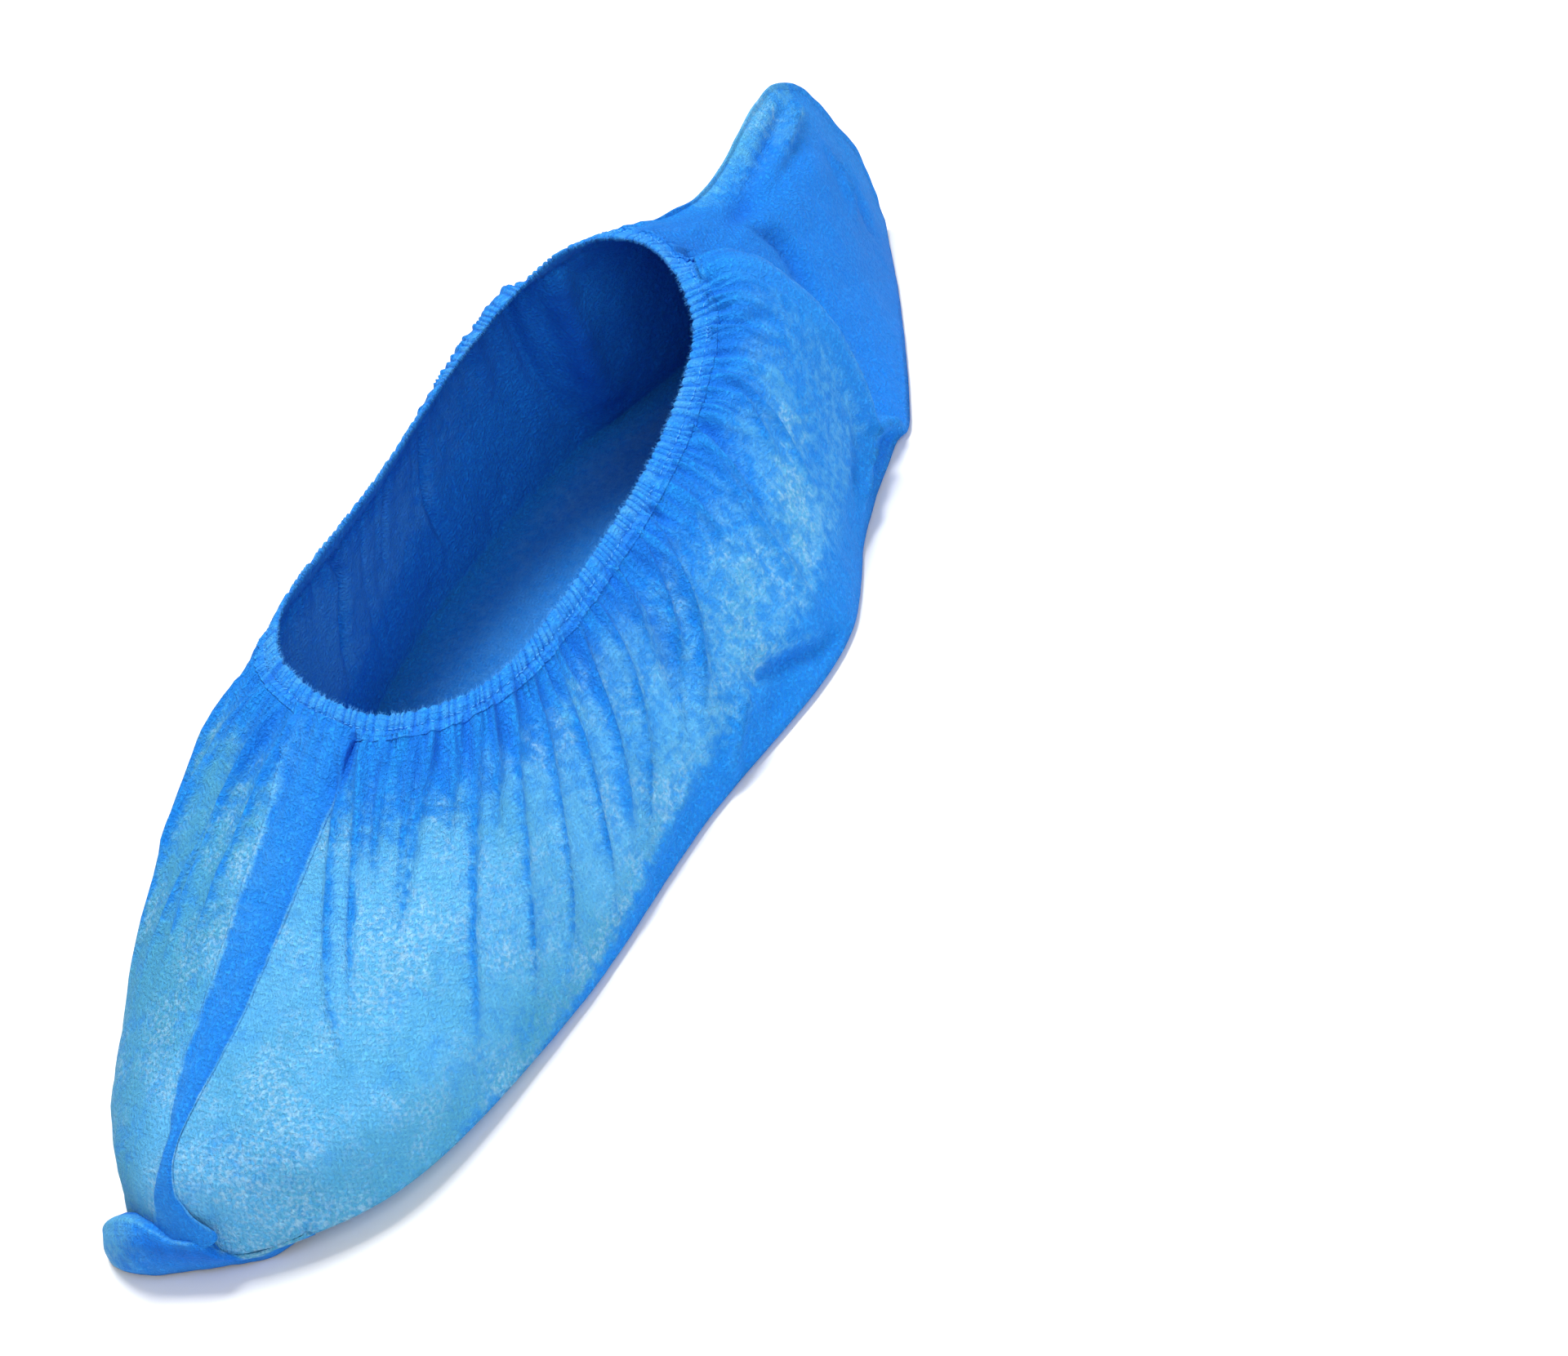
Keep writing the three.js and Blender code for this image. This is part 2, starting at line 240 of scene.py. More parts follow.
    def axes(self, around: Array, down: Array, step: float = 0.02) -> tuple[Array, Array]:
        """Changes of the smooth wall for one unit of around and of down, each taken on its own side.

        Args:
            around: Places around the cover.
            down: Parts of the way down.
            step: How far apart the two points are from which a change is taken.

        Returns:
            The change along the ring and the change down the wall.
        """
        around, down = np.broadcast_arrays(np.asarray(around, float), np.asarray(down, float))
        here = self.wall(around, down)
        place = np.mod(around, self.spans)
        side = np.where((place > self.tail - 2 * step) & (place <= self.tail), -step, step)
        lower = np.where(down > 1 - 2 * step, -step, step)
        along = (self.wall(around + side, down) - here) / side[..., None]
        downward = (self.wall(around, down + lower) - here) / lower[..., None]
        return along, downward

    def outward(self, around: Array, down: Array) -> Array:
        """Outward direction of the smooth wall; on the crest of the tail it lies in the middle plane.

        Args:
            around: Places around the cover.
            down: Parts of the way down.

        Returns:
            A direction of length one for each place.
        """
        along, downward = self.axes(around, down)
        normal = unit(np.cross(downward, along))
        crest = np.isclose(np.mod(np.broadcast_to(around, normal.shape[:-1]), self.spans), self.tail)
        flat = unit(normal * np.array([0.02, 1.0, 1.0]))
        return np.where(crest[..., None], flat, normal)

    def down_after(self, around: Array, length: float) -> Array:
        """Part of the way down at which the wall has run a length below the mouth."""
        _, downward = self.axes(around, 0.02)
        return length / np.linalg.norm(downward, axis=-1)


class FoldKind(Enum):
    """Cross-section of a fold: round, pinched to a crest between two hollows, or steep on one side."""

    ROUND = "round"
    PINCH = "pinch"
    LAP = "lap"


ROUND, PINCH, LAP = FoldKind


@dataclass(frozen=True)
class Fold:
    """A fold of the wall that runs along a path of places (around, down).

    Attributes:
        path: Places that it runs through.
        height: Its height in millimetres, below zero for a dent.
        width: Its width in millimetres, halfway along.
        kind: Its cross-section.
        fade: Part of its length in which it rises at its start.
        widening: How much wider it is at its end than at its start, in widths.
    """

    path: tuple[Place, ...]
    height: float
    width: float
    kind: FoldKind = ROUND
    fade: float = 0.15
    widening: float = 0.5

    def profile(self, across: Array) -> Array:
        """Height of the cross-section, for a fold of height one.

        Args:
            across: Distances from the fold's line, in widths.

        Returns:
            One height for each distance.
        """
        if self.kind is PINCH:
            return 1.3 * np.exp(-1.8 * across**2) - 0.3 * np.exp(-((across / 2.4) ** 2))
        if self.kind is LAP:
            return np.where(across > 0, np.exp(-((across / 2) ** 2)), np.exp(-((across * 2.5) ** 2)))
        return np.exp(-(across**2))

    def stations(self, count: int = 26) -> tuple[Array, Array]:
        """Places evenly along the path, rounded where it turns.

        Args:
            count: How many places.

        Returns:
            Places around the cover, and parts of the way down.
        """
        places = np.array(self.path, float)
        knots = np.linspace(0, 1, len(places))
        at = np.linspace(0, 1, count)
        around, down = (np.interp(at, knots, places[:, axis]) for axis in (0, 1))
        for line in (around, down):
            relax(line, 3)
        return around, down

    def lift(self, shape: CoverShape, around: Array, points: Array, normals: Array) -> Array:
        """Height that the fold adds at points of the smooth wall.

        Args:
            shape: The bag.
            around: Place around the cover of each point.
            points: The points, in millimetres.
            normals: Outward direction at each point.

        Returns:
            One height for each point, in millimetres.
        """
        places, downs = self.stations()
        line = shape.wall(places, downs)
        reach = 5 * self.width
        low, high = line.min(0) - reach, line.max(0) + reach
        turn = (around - places.mean() + shape.spans / 2) % shape.spans - shape.spans / 2
        near = np.all((points > low) & (points < high), axis=-1) & (np.abs(turn) < 1.5 + np.ptp(places))
        result = np.zeros(points.shape[:-1])
        if not near.any():
            return result
        some, outward = points[near], normals[near]
        best = np.full(len(some), 1e9)
        part, across = np.zeros(len(some)), np.zeros(len(some))
        for index in range(len(line) - 1):
            run = line[index + 1] - line[index]
            offset = some - line[index]
            along = np.clip(offset @ run / (run @ run), 0, 1)
            away = offset - along[:, None] * run
            distance = np.linalg.norm(away, axis=-1)
            closer = distance < best
            side = np.sign((np.cross(run, away) * outward).sum(-1))
            best = np.where(closer, distance, best)
            part = np.where(closer, (index + along) / (len(line) - 1), part)
            across = np.where(closer, side * distance, across)
        spread = self.width * (1 + self.widening * (part - 0.5))
        rise = np.clip(part / max(self.fade, 1e-3), 0, 1)
        ends = np.sqrt(rise) * np.clip((1 - part) / 0.35, 0, 1) ** 0.8
        result[near] = self.height * ends * self.profile(across / spread)
        return result


@dataclass(frozen=True)
class Zone:
    """Stretch of places around the cover: it begins and ends softly, each between two places."""

    begins: Place
    ends: Place

    def share(self, place: Array) -> Array:
        """1 inside the zone and 0 outside."""
        return ease(*self.begins, place) * (1 - ease(*self.ends, place))


@dataclass(frozen=True)
class Streak:
    """Thin standing line of loose cloth, from the hem down.

    Attributes:
        start: Place around the cover, at the hem.
        drift: How far around it moves on the way down, negative towards the toe.
        reach: Part of the way down where it ends.
        bend: Above 1 it first runs straight down and then turns, below 1 the other way round.
        top: Part of the way down where it begins.
        steps: In how many pieces its path is laid out.
    """

    start: float
    drift: float
    reach: float
    bend: float = 1.0
    top: float = 0.05
    steps: int = 6

    def path(self) -> tuple[Place, ...]:
        """Places along the streak, from the hem to its lower end.

        Returns:
            Pairs of a place around the cover and a part of the way down.
        """
        parts = [index / self.steps for index in range(self.steps + 1)]
        length = self.reach - self.top
        moved = [self.drift * part**self.bend for part in parts]
        return tuple((self.start + move, self.top + length * part) for move, part in zip(moved, parts))


@dataclass
class DrapedWall:
    """The wall with its gathers, folds and crumples."""

    shape: CoverShape
    hem_width: float = 7.0
    pucker_pitch: float = 2.15
    pucker_height: float = 0.7
    pucker_depth: float = 6.5
    valley_depth: float = 15.0
    crumple_size: float = 16.0
    crumple_height: float = 0.75
    crease_size: float = 7.0
    crease_height: float = 0.3
    streak_height: float = 1.7
    streak_width: float = 1.8
    gathers: int = 56
    swells: int = 26
    seed: int = 7
    # what is left of the gathers at the heel, and what the far side, close cloth and the floor take away
    heel_fullness: float = 0.4
    far_calm: float = 0.45
    close_calm: float = 0.45
    floor_calm: float = 0.75
    # how far a streak and a fold lift the cloth off what it lies on
    streak_lift: float = 0.64
    fold_lift: float = 0.6
    # how strong the painted shade is between the gathers and in dents, and the painted shadow on the tail
    # behind the heel bulge; how strong the painted light is that makes the tail's crest pale
    valley_shade: float = 0.9
    dent_shade: float = 0.75
    tail_shadow: float = 0.4
    crest_paleness: float = 0.75
    # least and greatest height, length, width and, for the pleats, slant
    pleat_limits: tuple[Place, ...] = ((0.35, 1.05), (6, 22), (0.6, 0.9), (-0.1, 0.1))
    gather_limits: tuple[Place, ...] = ((0.7, 1.6), (12, 38), (1.2, 2.2))
    swell_limits: tuple[Place, ...] = ((0.6, 1.6), (28, 70), (4.0, 6.5))
    heel: Zone = Zone((6.2, 7.0), (11.0, 11.8))
    far_side: Zone = Zone((10.5, 11.5), (16.0, 17.0))
    # stretch of the tail behind the heel bulge, where a painted shadow lies
    tail_back: Zone = Zone((6.3, 6.9), (8.4, 8.9))
    shaded_far: Zone = Zone((15.5, 16.6), (17.4, 17.95))
    shaded_near: Zone = Zone((0.3, 1.0), (3.0, 4.0))
    # for each meridian: part of the way down at which close cloth begins and ends, and how close it lies
    touch_rows: dict[str, tuple[float, float, float]] = field(default_factory=lambda: {
        "toe": (0.10, 1.05, 0.95),
        "near_toe": (0.13, 1.05, 1.0),
        "near_ball": (0.19, 1.0, 0.88),
        "near_arch": (0.22, 0.84, 0.75),
        "near_heel": (0.26, 0.80, 0.46),
        "near_quarter": (0.22, 0.84, 0.32),
        "near_ridge": (0.16, 0.82, 0.28),
        "near_valley": (0.3, 0.5, 0.0),
        "near_tail": (0.3, 0.5, 0.0),
        "tail": (0.3, 0.5, 0.0),
        "far_tail": (0.3, 0.5, 0.0),
        "far_valley": (0.3, 0.5, 0.0),
        "far_ridge": (0.26, 0.56, 0.12),
        "far_quarter": (0.22, 0.62, 0.34),
        "far_heel": (0.24, 0.7, 0.8),
        "far_arch": (0.22, 0.8, 0.85),
        "far_ball": (0.16, 0.97, 0.9),
        "far_toe": (0.10, 1.05, 0.85),
    })
    streaks: tuple[Streak, ...] = (
        Streak(0.38, 0.64, 0.73, 1.1),
        Streak(0.73, 0.25, 0.58, 0.9),
        Streak(1.00, 0.03, 0.30),
        Streak(1.32, -0.08, 0.38, 1.3),
        Streak(1.49, -0.26, 0.48, 0.9),
        Streak(1.69, -0.09, 0.32, 2.0),
        Streak(1.92, -0.42, 0.84, 1.1),
        Streak(2.07, -0.17, 0.40, 1.8),
        Streak(2.30, -0.54, 0.95, 1.15),
        Streak(2.55, -0.60, 0.94, 1.8),
        Streak(2.78, -0.48, 0.97, 1.9),
        Streak(3.02, -0.27, 0.68, 2.0),
        Streak(3.24, -0.78, 0.95, 2.6),
        Streak(3.43, -0.14, 0.46, 1.7),
        Streak(3.61, -0.55, 0.75, 2.2),
        Streak(3.75, -0.49, 0.73, 1.8),
        Streak(3.98, -0.10, 0.46, 2.0),
        Streak(4.40, -0.32, 0.70, 0.75),
        Streak(4.78, -0.26, 0.66, 0.95),
        Streak(5.16, -0.10, 0.34),
        Streak(16.72, -0.13, 0.50, 0.5),
        Streak(17.17, -0.12, 0.58, 0.5),
        Streak(17.52, -0.07, 0.46, 0.6),
    )
    # folds whose height is added to touch instead: pale stretches, and painted highlights on the rims of
    # folds
    rests: tuple[Fold, ...] = (
        Fold(((5.00, 0.26), (4.84, 0.36), (4.70, 0.46), (4.58, 0.58)), 0.34, 5.5, ROUND, 0.3),
        Fold(((4.52, 0.34), (4.42, 0.50), (4.34, 0.66), (4.28, 0.78)), 0.36, 6.0, ROUND, 0.3),
        Fold(((3.86, 0.40), (3.82, 0.54), (3.74, 0.66)), 0.3, 7.0, ROUND, 0.3),
        Fold(
            ((7.0, 0.10), (6.3, 0.25), (6.06, 0.4), (6.0, 0.5), (5.88, 0.6), (5.74, 0.72), (5.72, 0.88)),
            0.3,
            1.3,
        ),
        Fold(((6.95, 1.0), (6.5, 0.95), (6.15, 0.92), (5.9, 0.88), (5.72, 0.83)), 0.36, 1.1),
        Fold(((5.74, 0.82), (5.48, 0.87), (5.25, 0.89), (5.08, 0.90)), 0.36, 1.2),
        Fold(((8.86, 0.57), (8.66, 0.52), (8.46, 0.45), (8.32, 0.38)), 0.26, 1.6),
        Fold(((3.54, 0.75), (3.40, 0.81), (3.28, 0.89), (3.20, 0.96)), 0.42, 1.4),
        Fold(((3.54, 0.74), (3.72, 0.78), (3.90, 0.86), (4.02, 0.93)), 0.3, 1.3),
    )
    folds: tuple[Fold, ...] = (
        # beside the front seam, and the near side
        Fold(((0.56, 0.02), (0.50, 0.08), (0.40, 0.13), (0.36, 0.20)), -2.6, 2.4, ROUND, 0.02),
        Fold(((3.10, 0.05), (3.00, 0.26), (2.90, 0.43), (2.76, 0.66), (2.62, 0.78)), 1.7, 2.8, PINCH),
        Fold(((3.50, 0.06), (3.48, 0.25), (3.40, 0.43), (3.30, 0.58), (3.20, 0.74)), -2.2, 2.6, ROUND),
        Fold(((3.68, 0.16), (3.62, 0.34), (3.54, 0.50), (3.40, 0.62), (3.26, 0.74)), 2.0, 2.6, PINCH),
        Fold(((3.72, 0.05), (3.80, 0.17), (3.76, 0.25)), -2.0, 2.2, ROUND),
        Fold(((4.28, 0.16), (4.16, 0.34), (4.10, 0.50), (4.05, 0.66), (4.03, 0.84)), 2.0, 2.6, PINCH),
        Fold(((4.40, 0.18), (4.24, 0.40), (4.14, 0.58)), -1.8, 2.4, ROUND),
        Fold(((4.16, 0.97), (3.92, 0.92), (3.75, 0.84), (3.62, 0.78), (3.50, 0.77)), -3.0, 3.0, ROUND, 0.4),
        Fold(((3.52, 0.76), (3.40, 0.82), (3.28, 0.90), (3.20, 0.97)), 2.2, 2.8, PINCH, 0.1),
        Fold(((3.72, 0.88), (3.58, 0.90), (3.44, 0.93)), -1.6, 3.5, ROUND, 0.3),
        Fold(((3.15, 0.80), (2.88, 0.87), (2.60, 0.90), (2.35, 0.95)), 1.0, 2.4, PINCH),
        # heel quarter, across the gathers
        Fold(((4.28, 0.04), (4.27, 0.12), (4.22, 0.20)), -1.8, 2.0, ROUND, 0.05),
        Fold(((4.43, 0.04), (4.38, 0.14), (4.31, 0.25)), -2.4, 2.2, ROUND, 0.05),
        Fold(((4.56, 0.04), (4.54, 0.14), (4.62, 0.27)), -1.8, 1.9, ROUND, 0.05),
        Fold(((4.83, 0.04), (4.76, 0.15), (4.82, 0.28)), -2.4, 2.1, ROUND, 0.05),
        Fold(((4.96, 0.04), (4.92, 0.12), (4.86, 0.22)), -1.8, 1.9, ROUND, 0.05),
        Fold(((5.28, 0.04), (5.18, 0.14), (5.15, 0.24), (5.40, 0.38)), -2.2, 2.0, ROUND, 0.05),
        Fold(((5.52, 0.04), (5.40, 0.12), (5.32, 0.21)), -1.8, 1.9, ROUND, 0.05),
        Fold(((5.93, 0.04), (5.80, 0.12), (5.65, 0.22)), -1.8, 1.9, ROUND, 0.05),
        Fold(((4.64, 0.26), (4.52, 0.38), (4.42, 0.50)), 1.6, 2.2, PINCH, 0.3),
        # loose corner behind the heel bulge
        Fold(((6.95, 0.98), (6.5, 0.95), (6.15, 0.92), (5.9, 0.88), (5.76, 0.84)), 3.4, 2.8, PINCH, 0.35),
        Fold(((5.76, 0.83), (5.48, 0.87), (5.25, 0.89), (5.08, 0.90), (4.86, 0.92)), 2.8, 2.7, PINCH, 0.1),
        Fold(((6.4, 0.985), (5.9, 0.955), (5.5, 0.95), (5.2, 0.96)), -2.2, 3.4, ROUND, 0.3),
        Fold(((5.55, 0.72), (5.40, 0.78), (5.20, 0.82), (4.9, 0.86)), -1.8, 3.0, ROUND, 0.3),
        # tail
        Fold(((8.86, 0.56), (8.68, 0.51), (8.50, 0.45), (8.38, 0.38), (8.2, 0.30)), 2.6, 2.8, PINCH, 0.3),
        Fold(((8.50, 0.49), (8.40, 0.43), (8.28, 0.34), (8.10, 0.26), (7.9, 0.2)), -1.5, 3.6, ROUND, 0.3),
        Fold(((7.75, 0.30), (7.62, 0.40), (7.45, 0.52), (7.25, 0.66)), -3.0, 3.2, ROUND, 0.3),
        Fold(
            (
                (8.80, 0.50), (8.70, 0.45), (8.60, 0.39), (8.50, 0.33),
                (8.25, 0.26), (7.7, 0.20), (6.9, 0.14),
            ),
            -1.7,
            3.0,
            ROUND,
            0.1,
        ),
        Fold(((8.62, 0.62), (8.40, 0.66), (8.15, 0.72)), 2.2, 3.2, PINCH, 0.4),
        Fold(((8.75, 0.70), (8.50, 0.78), (8.30, 0.88)), -2.2, 3.4, ROUND, 0.4),
        # valley between the heel bulge and the tail, and the edge of the bulge
        Fold(
            ((7.4, 0.12), (6.95, 0.22), (6.72, 0.36), (6.62, 0.5), (6.5, 0.62), (6.35, 0.74), (6.6, 0.88)),
            -3.5,
            5.0,
            ROUND,
        ),
        Fold(
            (
                (5.74, 0.9), (5.76, 0.72), (5.9, 0.6), (6.02, 0.5),
                (6.08, 0.38), (6.22, 0.29), (6.5, 0.20), (6.9, 0.15),
            ),
            4.4,
            2.6,
            LAP,
            0.15,
        ),
        Fold(((8.3, 0.3), (8.2, 0.5), (8.3, 0.75)), 1.2, 7.0, ROUND, 0.4),
        # far side
        Fold(((9.35, 0.58), (9.6, 0.50), (9.95, 0.40), (10.5, 0.28)), 1.8, 2.8, PINCH, 0.4),
        Fold(((9.3, 0.64), (9.6, 0.57), (10.0, 0.48)), -2.4, 2.8, ROUND, 0.3),
        Fold(((9.3, 0.78), (9.8, 0.74), (10.5, 0.8)), 2.0, 3.2, PINCH, 0.4),
        Fold(((11.0, 0.14), (11.2, 0.34), (11.3, 0.6), (11.1, 0.86)), -4.0, 4.6, ROUND, 0.2),
        Fold(((11.7, 0.16), (11.9, 0.36), (11.95, 0.6), (11.8, 0.86)), 2.4, 3.0, PINCH, 0.2),
        Fold(((12.4, 0.16), (12.5, 0.35), (12.6, 0.7)), -2.0, 3.5, ROUND, 0.4),
        Fold(((13.3, 0.16), (13.4, 0.35), (13.5, 0.6), (13.4, 0.9)), 2.4, 2.6, PINCH, 0.4),
        Fold(((13.8, 0.16), (13.9, 0.35), (14.0, 0.6)), 2.0, 2.0, PINCH, 0.4),
        Fold(((14.5, 0.16), (14.4, 0.35), (14.6, 0.8)), 2.2, 2.4, PINCH, 0.4),
        Fold(((15.0, 0.14), (15.1, 0.35), (15.2, 0.7)), 2.0, 1.9, PINCH, 0.4),
        Fold(((15.5, 0.12), (15.6, 0.35), (15.7, 0.9)), -2.2, 2.6, ROUND, 0.4),
        Fold(((16.0, 0.10), (16.1, 0.35), (16.3, 0.7)), 2.2, 2.0, PINCH, 0.3),
        Fold(((16.5, 0.08), (16.6, 0.3), (16.8, 0.7)), 1.8, 1.8, PINCH, 0.2),
        Fold(((17.1, 0.05), (17.15, 0.25), (17.3, 0.55)), 1.8, 1.8, PINCH),
    )

    def __post_init__(self) -> None:
        """Draws the places of the gathers, the same on each run."""
        fine = np.linspace(0, self.shape.spans, 2881)
        self.hem_run = run_along(self.shape.wall(fine, 0.0))
        self.puckers = round(self.hem_run[-1] / self.pucker_pitch)
        dice = random.Random(self.seed)
        crests = np.interp(np.arange(self.puckers) + 0.5, self.pucker_phase(fine[:-1]), fine[:-1])
        self.pleat_rows = [
            (place, *(dice.uniform(*limits) for limits in self.pleat_limits))
            for place in crests
        ]
        self.gather_rows = self._scatter(dice, self.gathers, *self.gather_limits)
        self.swell_rows = self._scatter(dice, self.swells, *self.swell_limits)
        shape = {"height": self.streak_height, "width": self.streak_width, "fade": 0.04, "widening": -0.4}
        self.lines = [Fold(streak.path(), kind=PINCH, **shape) for streak in self.streaks]

    def _scatter(
        self, dice: random.Random, count: int, heights: Place, lengths: Place, widths: Place
    ) -> list[tuple[float, ...]]:
        """Rows spread unevenly around the mouth.

        Args:
            dice: Random numbers.
            count: How many rows.
            heights: Least and greatest height.
            lengths: Least and greatest length.
            widths: Least and greatest width.

        Returns:
            Rows of place, height, length, width and slant.
        """
        rows = []
        for index in range(count):
            place = (index + dice.uniform(-0.38, 0.38)) * self.shape.spans / count
            sizes = [dice.uniform(*limits) for limits in (heights, lengths, widths)]
            rows.append((place, *sizes, dice.uniform(-0.25, 0.25)))
        return rows

    def pucker_phase(self, around: Array) -> Array:
        """Running number of the puckers of the hem, a little uneven.

        Args:
            around: Places around the cover.

        Returns:
            A number for each place, whole on the valleys.
        """
        place = np.mod(around, self.shape.spans)
        run = np.interp(place, np.linspace(0, self.shape.spans, len(self.hem_run)), self.hem_run)
        phase = run / self.hem_run[-1] * self.puckers
        turn = 2 * math.pi * phase / self.puckers
        return phase + 0.35 * np.sin(23 * turn) + 0.3 * np.sin(41 * turn + 1.0) + 0.2 * np.sin(67 * turn)

    def _rows_lift(self, rows: list[tuple[float, ...]], around: Array, depth: Array, span: Array) -> Array:
        """Highest of the gathers in a table of rows, so that sharp valleys stay between them.

        Args:
            rows: Place, height, length, width and slant of each gather.
            around: Places around the cover.
            depth: Distance of each point below the hem, in millimetres.
            span: Length of a span at each point, in millimetres.

        Returns:
            One height for each point, in millimetres.
        """
        highest = np.zeros(depth.shape)
        half = self.shape.spans / 2
        for place, height, length, width, slant in rows:
            turn = (around - place + half) % self.shape.spans - half
            across = turn * span - slant * depth
            spread = width * (1 + depth / (2.2 * length))
            shape = np.exp(-((across / spread) ** 2) - (depth / length) ** 2)
            highest = np.maximum(highest, height * shape)
        return highest

    def relief(self, around: Array, down: Array) -> dict[str, Array]:
        """Shape and state of the wall.

        Args:
            around: Places around the cover.
            down: Parts of the way down.

        Returns:
            point, outward, touch (how closely the cloth lies on what fills it, with painted highlights
            on the rims of folds and painted light through the tail's crest), crease (painted shade, darker
            the deeper it lies in a fold) and shade (painted shade, greyish green), for each place.
        """
        around, down = np.broadcast_arrays(np.asarray(around, float), np.asarray(down, float))
        smooth = self.shape.wall(around, down)
        outward = self.shape.outward(around, down)
        along, _ = self.shape.axes(around, down)
        span = np.linalg.norm(along, axis=-1)
        depth = np.linalg.norm(smooth - self.shape.wall(around, 0.0), axis=-1) - self.hem_width + 1.0
        depth = np.maximum(depth, 0.0)
        place = np.mod(around, self.shape.spans)
        fullness = self.heel_fullness + (1 - self.heel_fullness) * (1 - self.heel.share(place))
        fullness = fullness * (1 - self.far_calm * self.far_side.share(place))
        pleats = self._rows_lift(self.pleat_rows, around, depth, span)
        gathers = self._rows_lift(self.gather_rows, around, depth, span)
        tucks = np.maximum(pleats, gathers) * fullness
        swells = self._rows_lift(self.swell_rows, around, depth, span) * fullness
        pucker = np.abs(np.sin(math.pi * self.pucker_phase(around))) - 0.6
        puckers = self.pucker_height * pucker * np.exp(-((depth / self.pucker_depth) ** 2))
        folds = sum(fold.lift(self.shape, around, smooth, outward) for fold in self.folds)
        lines = np.zeros(down.shape)
        for line in self.lines:
            lines = np.maximum(lines, line.lift(self.shape, around, smooth, outward))
        coarse = rough(smooth, self.crumple_size)
        fine = 1 - 2.2 * np.abs(rough(smooth + 40.0, self.crease_size))
        close = self.touch_base(around, down)
        # pale stretches, and painted highlights on the rims of folds
        for rest in self.rests:
            close = np.maximum(close, close + rest.lift(self.shape, around, smooth, outward))
        slack = 1 - self.close_calm * close
        near_floor = 1 - self.floor_calm * ease(0.93, 1.0, down)
        crumple = slack * (self.crumple_height * coarse + self.crease_height * fine)
        height = near_floor * (tucks + swells + folds + lines + crumple) + puckers
        thin = np.clip(lines / 1.5, 0, 1) ** 1.25
        lifted = ease(0.15, 1.9, gathers + np.maximum(folds, 0))
        loose = 1 - (1 - self.streak_lift * thin) * (1 - self.fold_lift * lifted)
        between = 1 - ease(0.1, 0.8, np.maximum(pleats, gathers))
        valleys = np.exp(-((depth / self.valley_depth) ** 2)) * between * fullness
        # painted shade between the gathers and in dents, and painted shadow on the tail behind the heel
        # bulge
        crease = self.valley_shade * valleys + self.dent_shade * ease(0.5, 4.0, -folds)
        crease = crease + self.tail_shadow * self.tail_back.share(place)
        return {
            "point": smooth + outward * height[..., None],
            "outward": outward,
            "touch": np.clip(close * (1 - loose) + self.pale_crest(around, down), 0, 1),
            "crease": np.clip(crease, 0, 1),
            "shade": self.shade(around, down),
        }

    def shade(self, around: Array, down: Array) -> Array:
        """Painted shade of the close cloth, greyish green: on the far side of the toe and low on the near
        side.

        Args:
            around: Places around the cover.
            down: Parts of the way down.

        Returns:
            A number from 0 to 1 for each place.
        """
        place = np.mod(around, self.shape.spans)
        low = ease(0.70, 0.95, down) * self.shaded_near.share(place)
        top = (1 - ease(0.12, 0.3, down)) * (1 - ease(0.5, 0.7, place))
        return np.clip(0.9 * self.shaded_far.share(place) + 0.75 * low + 0.3 * top, 0, 1)

    def pale_crest(self, around: Array, down: Array) -> Array:
        """Thin pale cloth along the upper crest of the tail, where light comes through.

        Args:
            around: Places around the cover.
            down: Parts of the way down.

        Returns:
            What it adds to touch at each place, as painted light.
        """
        place = np.mod(around, self.shape.spans) - self.shape.tail
        band = np.exp(-((place / 0.42) ** 2))
        return self.crest_paleness * band * ease(0.16, 0.30, down) * (1 - ease(0.46, 0.60, down))

    def touch_base(self, around: Array, down: Array) -> Array:
        """How closely the cloth lies on the filling, before folds lift it.

        Args:
            around: Places around the cover.
            down: Parts of the way down.

        Returns:
            A number from 0 to 1 for each place.
        """
        rows = np.array([*self.touch_rows.values(), next(iter(self.touch_rows.values()))])
        place = np.mod(around, self.shape.spans)
        knots = np.arange(len(rows))
        top, bottom, weight = (np.interp(place, knots, rows[:, axis]) for axis in range(3))
        begins = ease(top - 0.08, top + 0.14, down)
        return weight * begins * (1 - ease(bottom - 0.08, bottom + 0.05, down))


# ---- meshes -----------------------------------------------------------------------------------------


@dataclass
class Skin:
    """Grid of points that becomes a mesh, with values kept at its points."""

    name: str
    points: Array
    faces: list[tuple[int, ...]]
    values: dict[str, Array] = field(default_factory=dict)
    corner_uvs: Array | None = None

    def build(self, material: bpy.types.Material) -> bpy.types.Object:
        """Makes the object, in metres, with its values as attributes.

        Args:
            material: Finish of the object.

        Returns:
            The object, linked to the scene.
        """
        mesh = bpy.data.meshes.new(self.name)
        mesh.from_pydata((self.points * MM).tolist(), [], self.faces)
        for name, values in self.values.items():
            attribute = mesh.attributes.new(name, "FLOAT", "POINT")
            attribute.data.foreach_set("value", np.asarray(values, np.float32).ravel())
        if self.corner_uvs is not None:
            layer = mesh.uv_layers.new(name="flat_cloth")
            layer.data.foreach_set("uv", np.asarray(self.corner_uvs, np.float32).ravel())
        mesh.polygons.foreach_set("use_smooth", [True] * len(mesh.polygons))
        mesh.materials.append(material)
        mesh.update()
        return linked(self.name, mesh)


def grid_faces(rows: int, columns: int, loop: bool) -> list[tuple[int, ...]]:
    """Faces of a grid of points.

    Args:
        rows: How many rows it has.
        columns: How many points a row has.
        loop: Whether each row closes on itself.

    Returns:
        The points of each face, row by row.
    """
    faces = []
    for row in range(rows - 1):
        for column in range(columns if loop else columns - 1):
            right = (column + 1) % columns
            here, below = row * columns, (row + 1) * columns
            faces.append((here + column, below + column, below + right, here + right))
    return faces


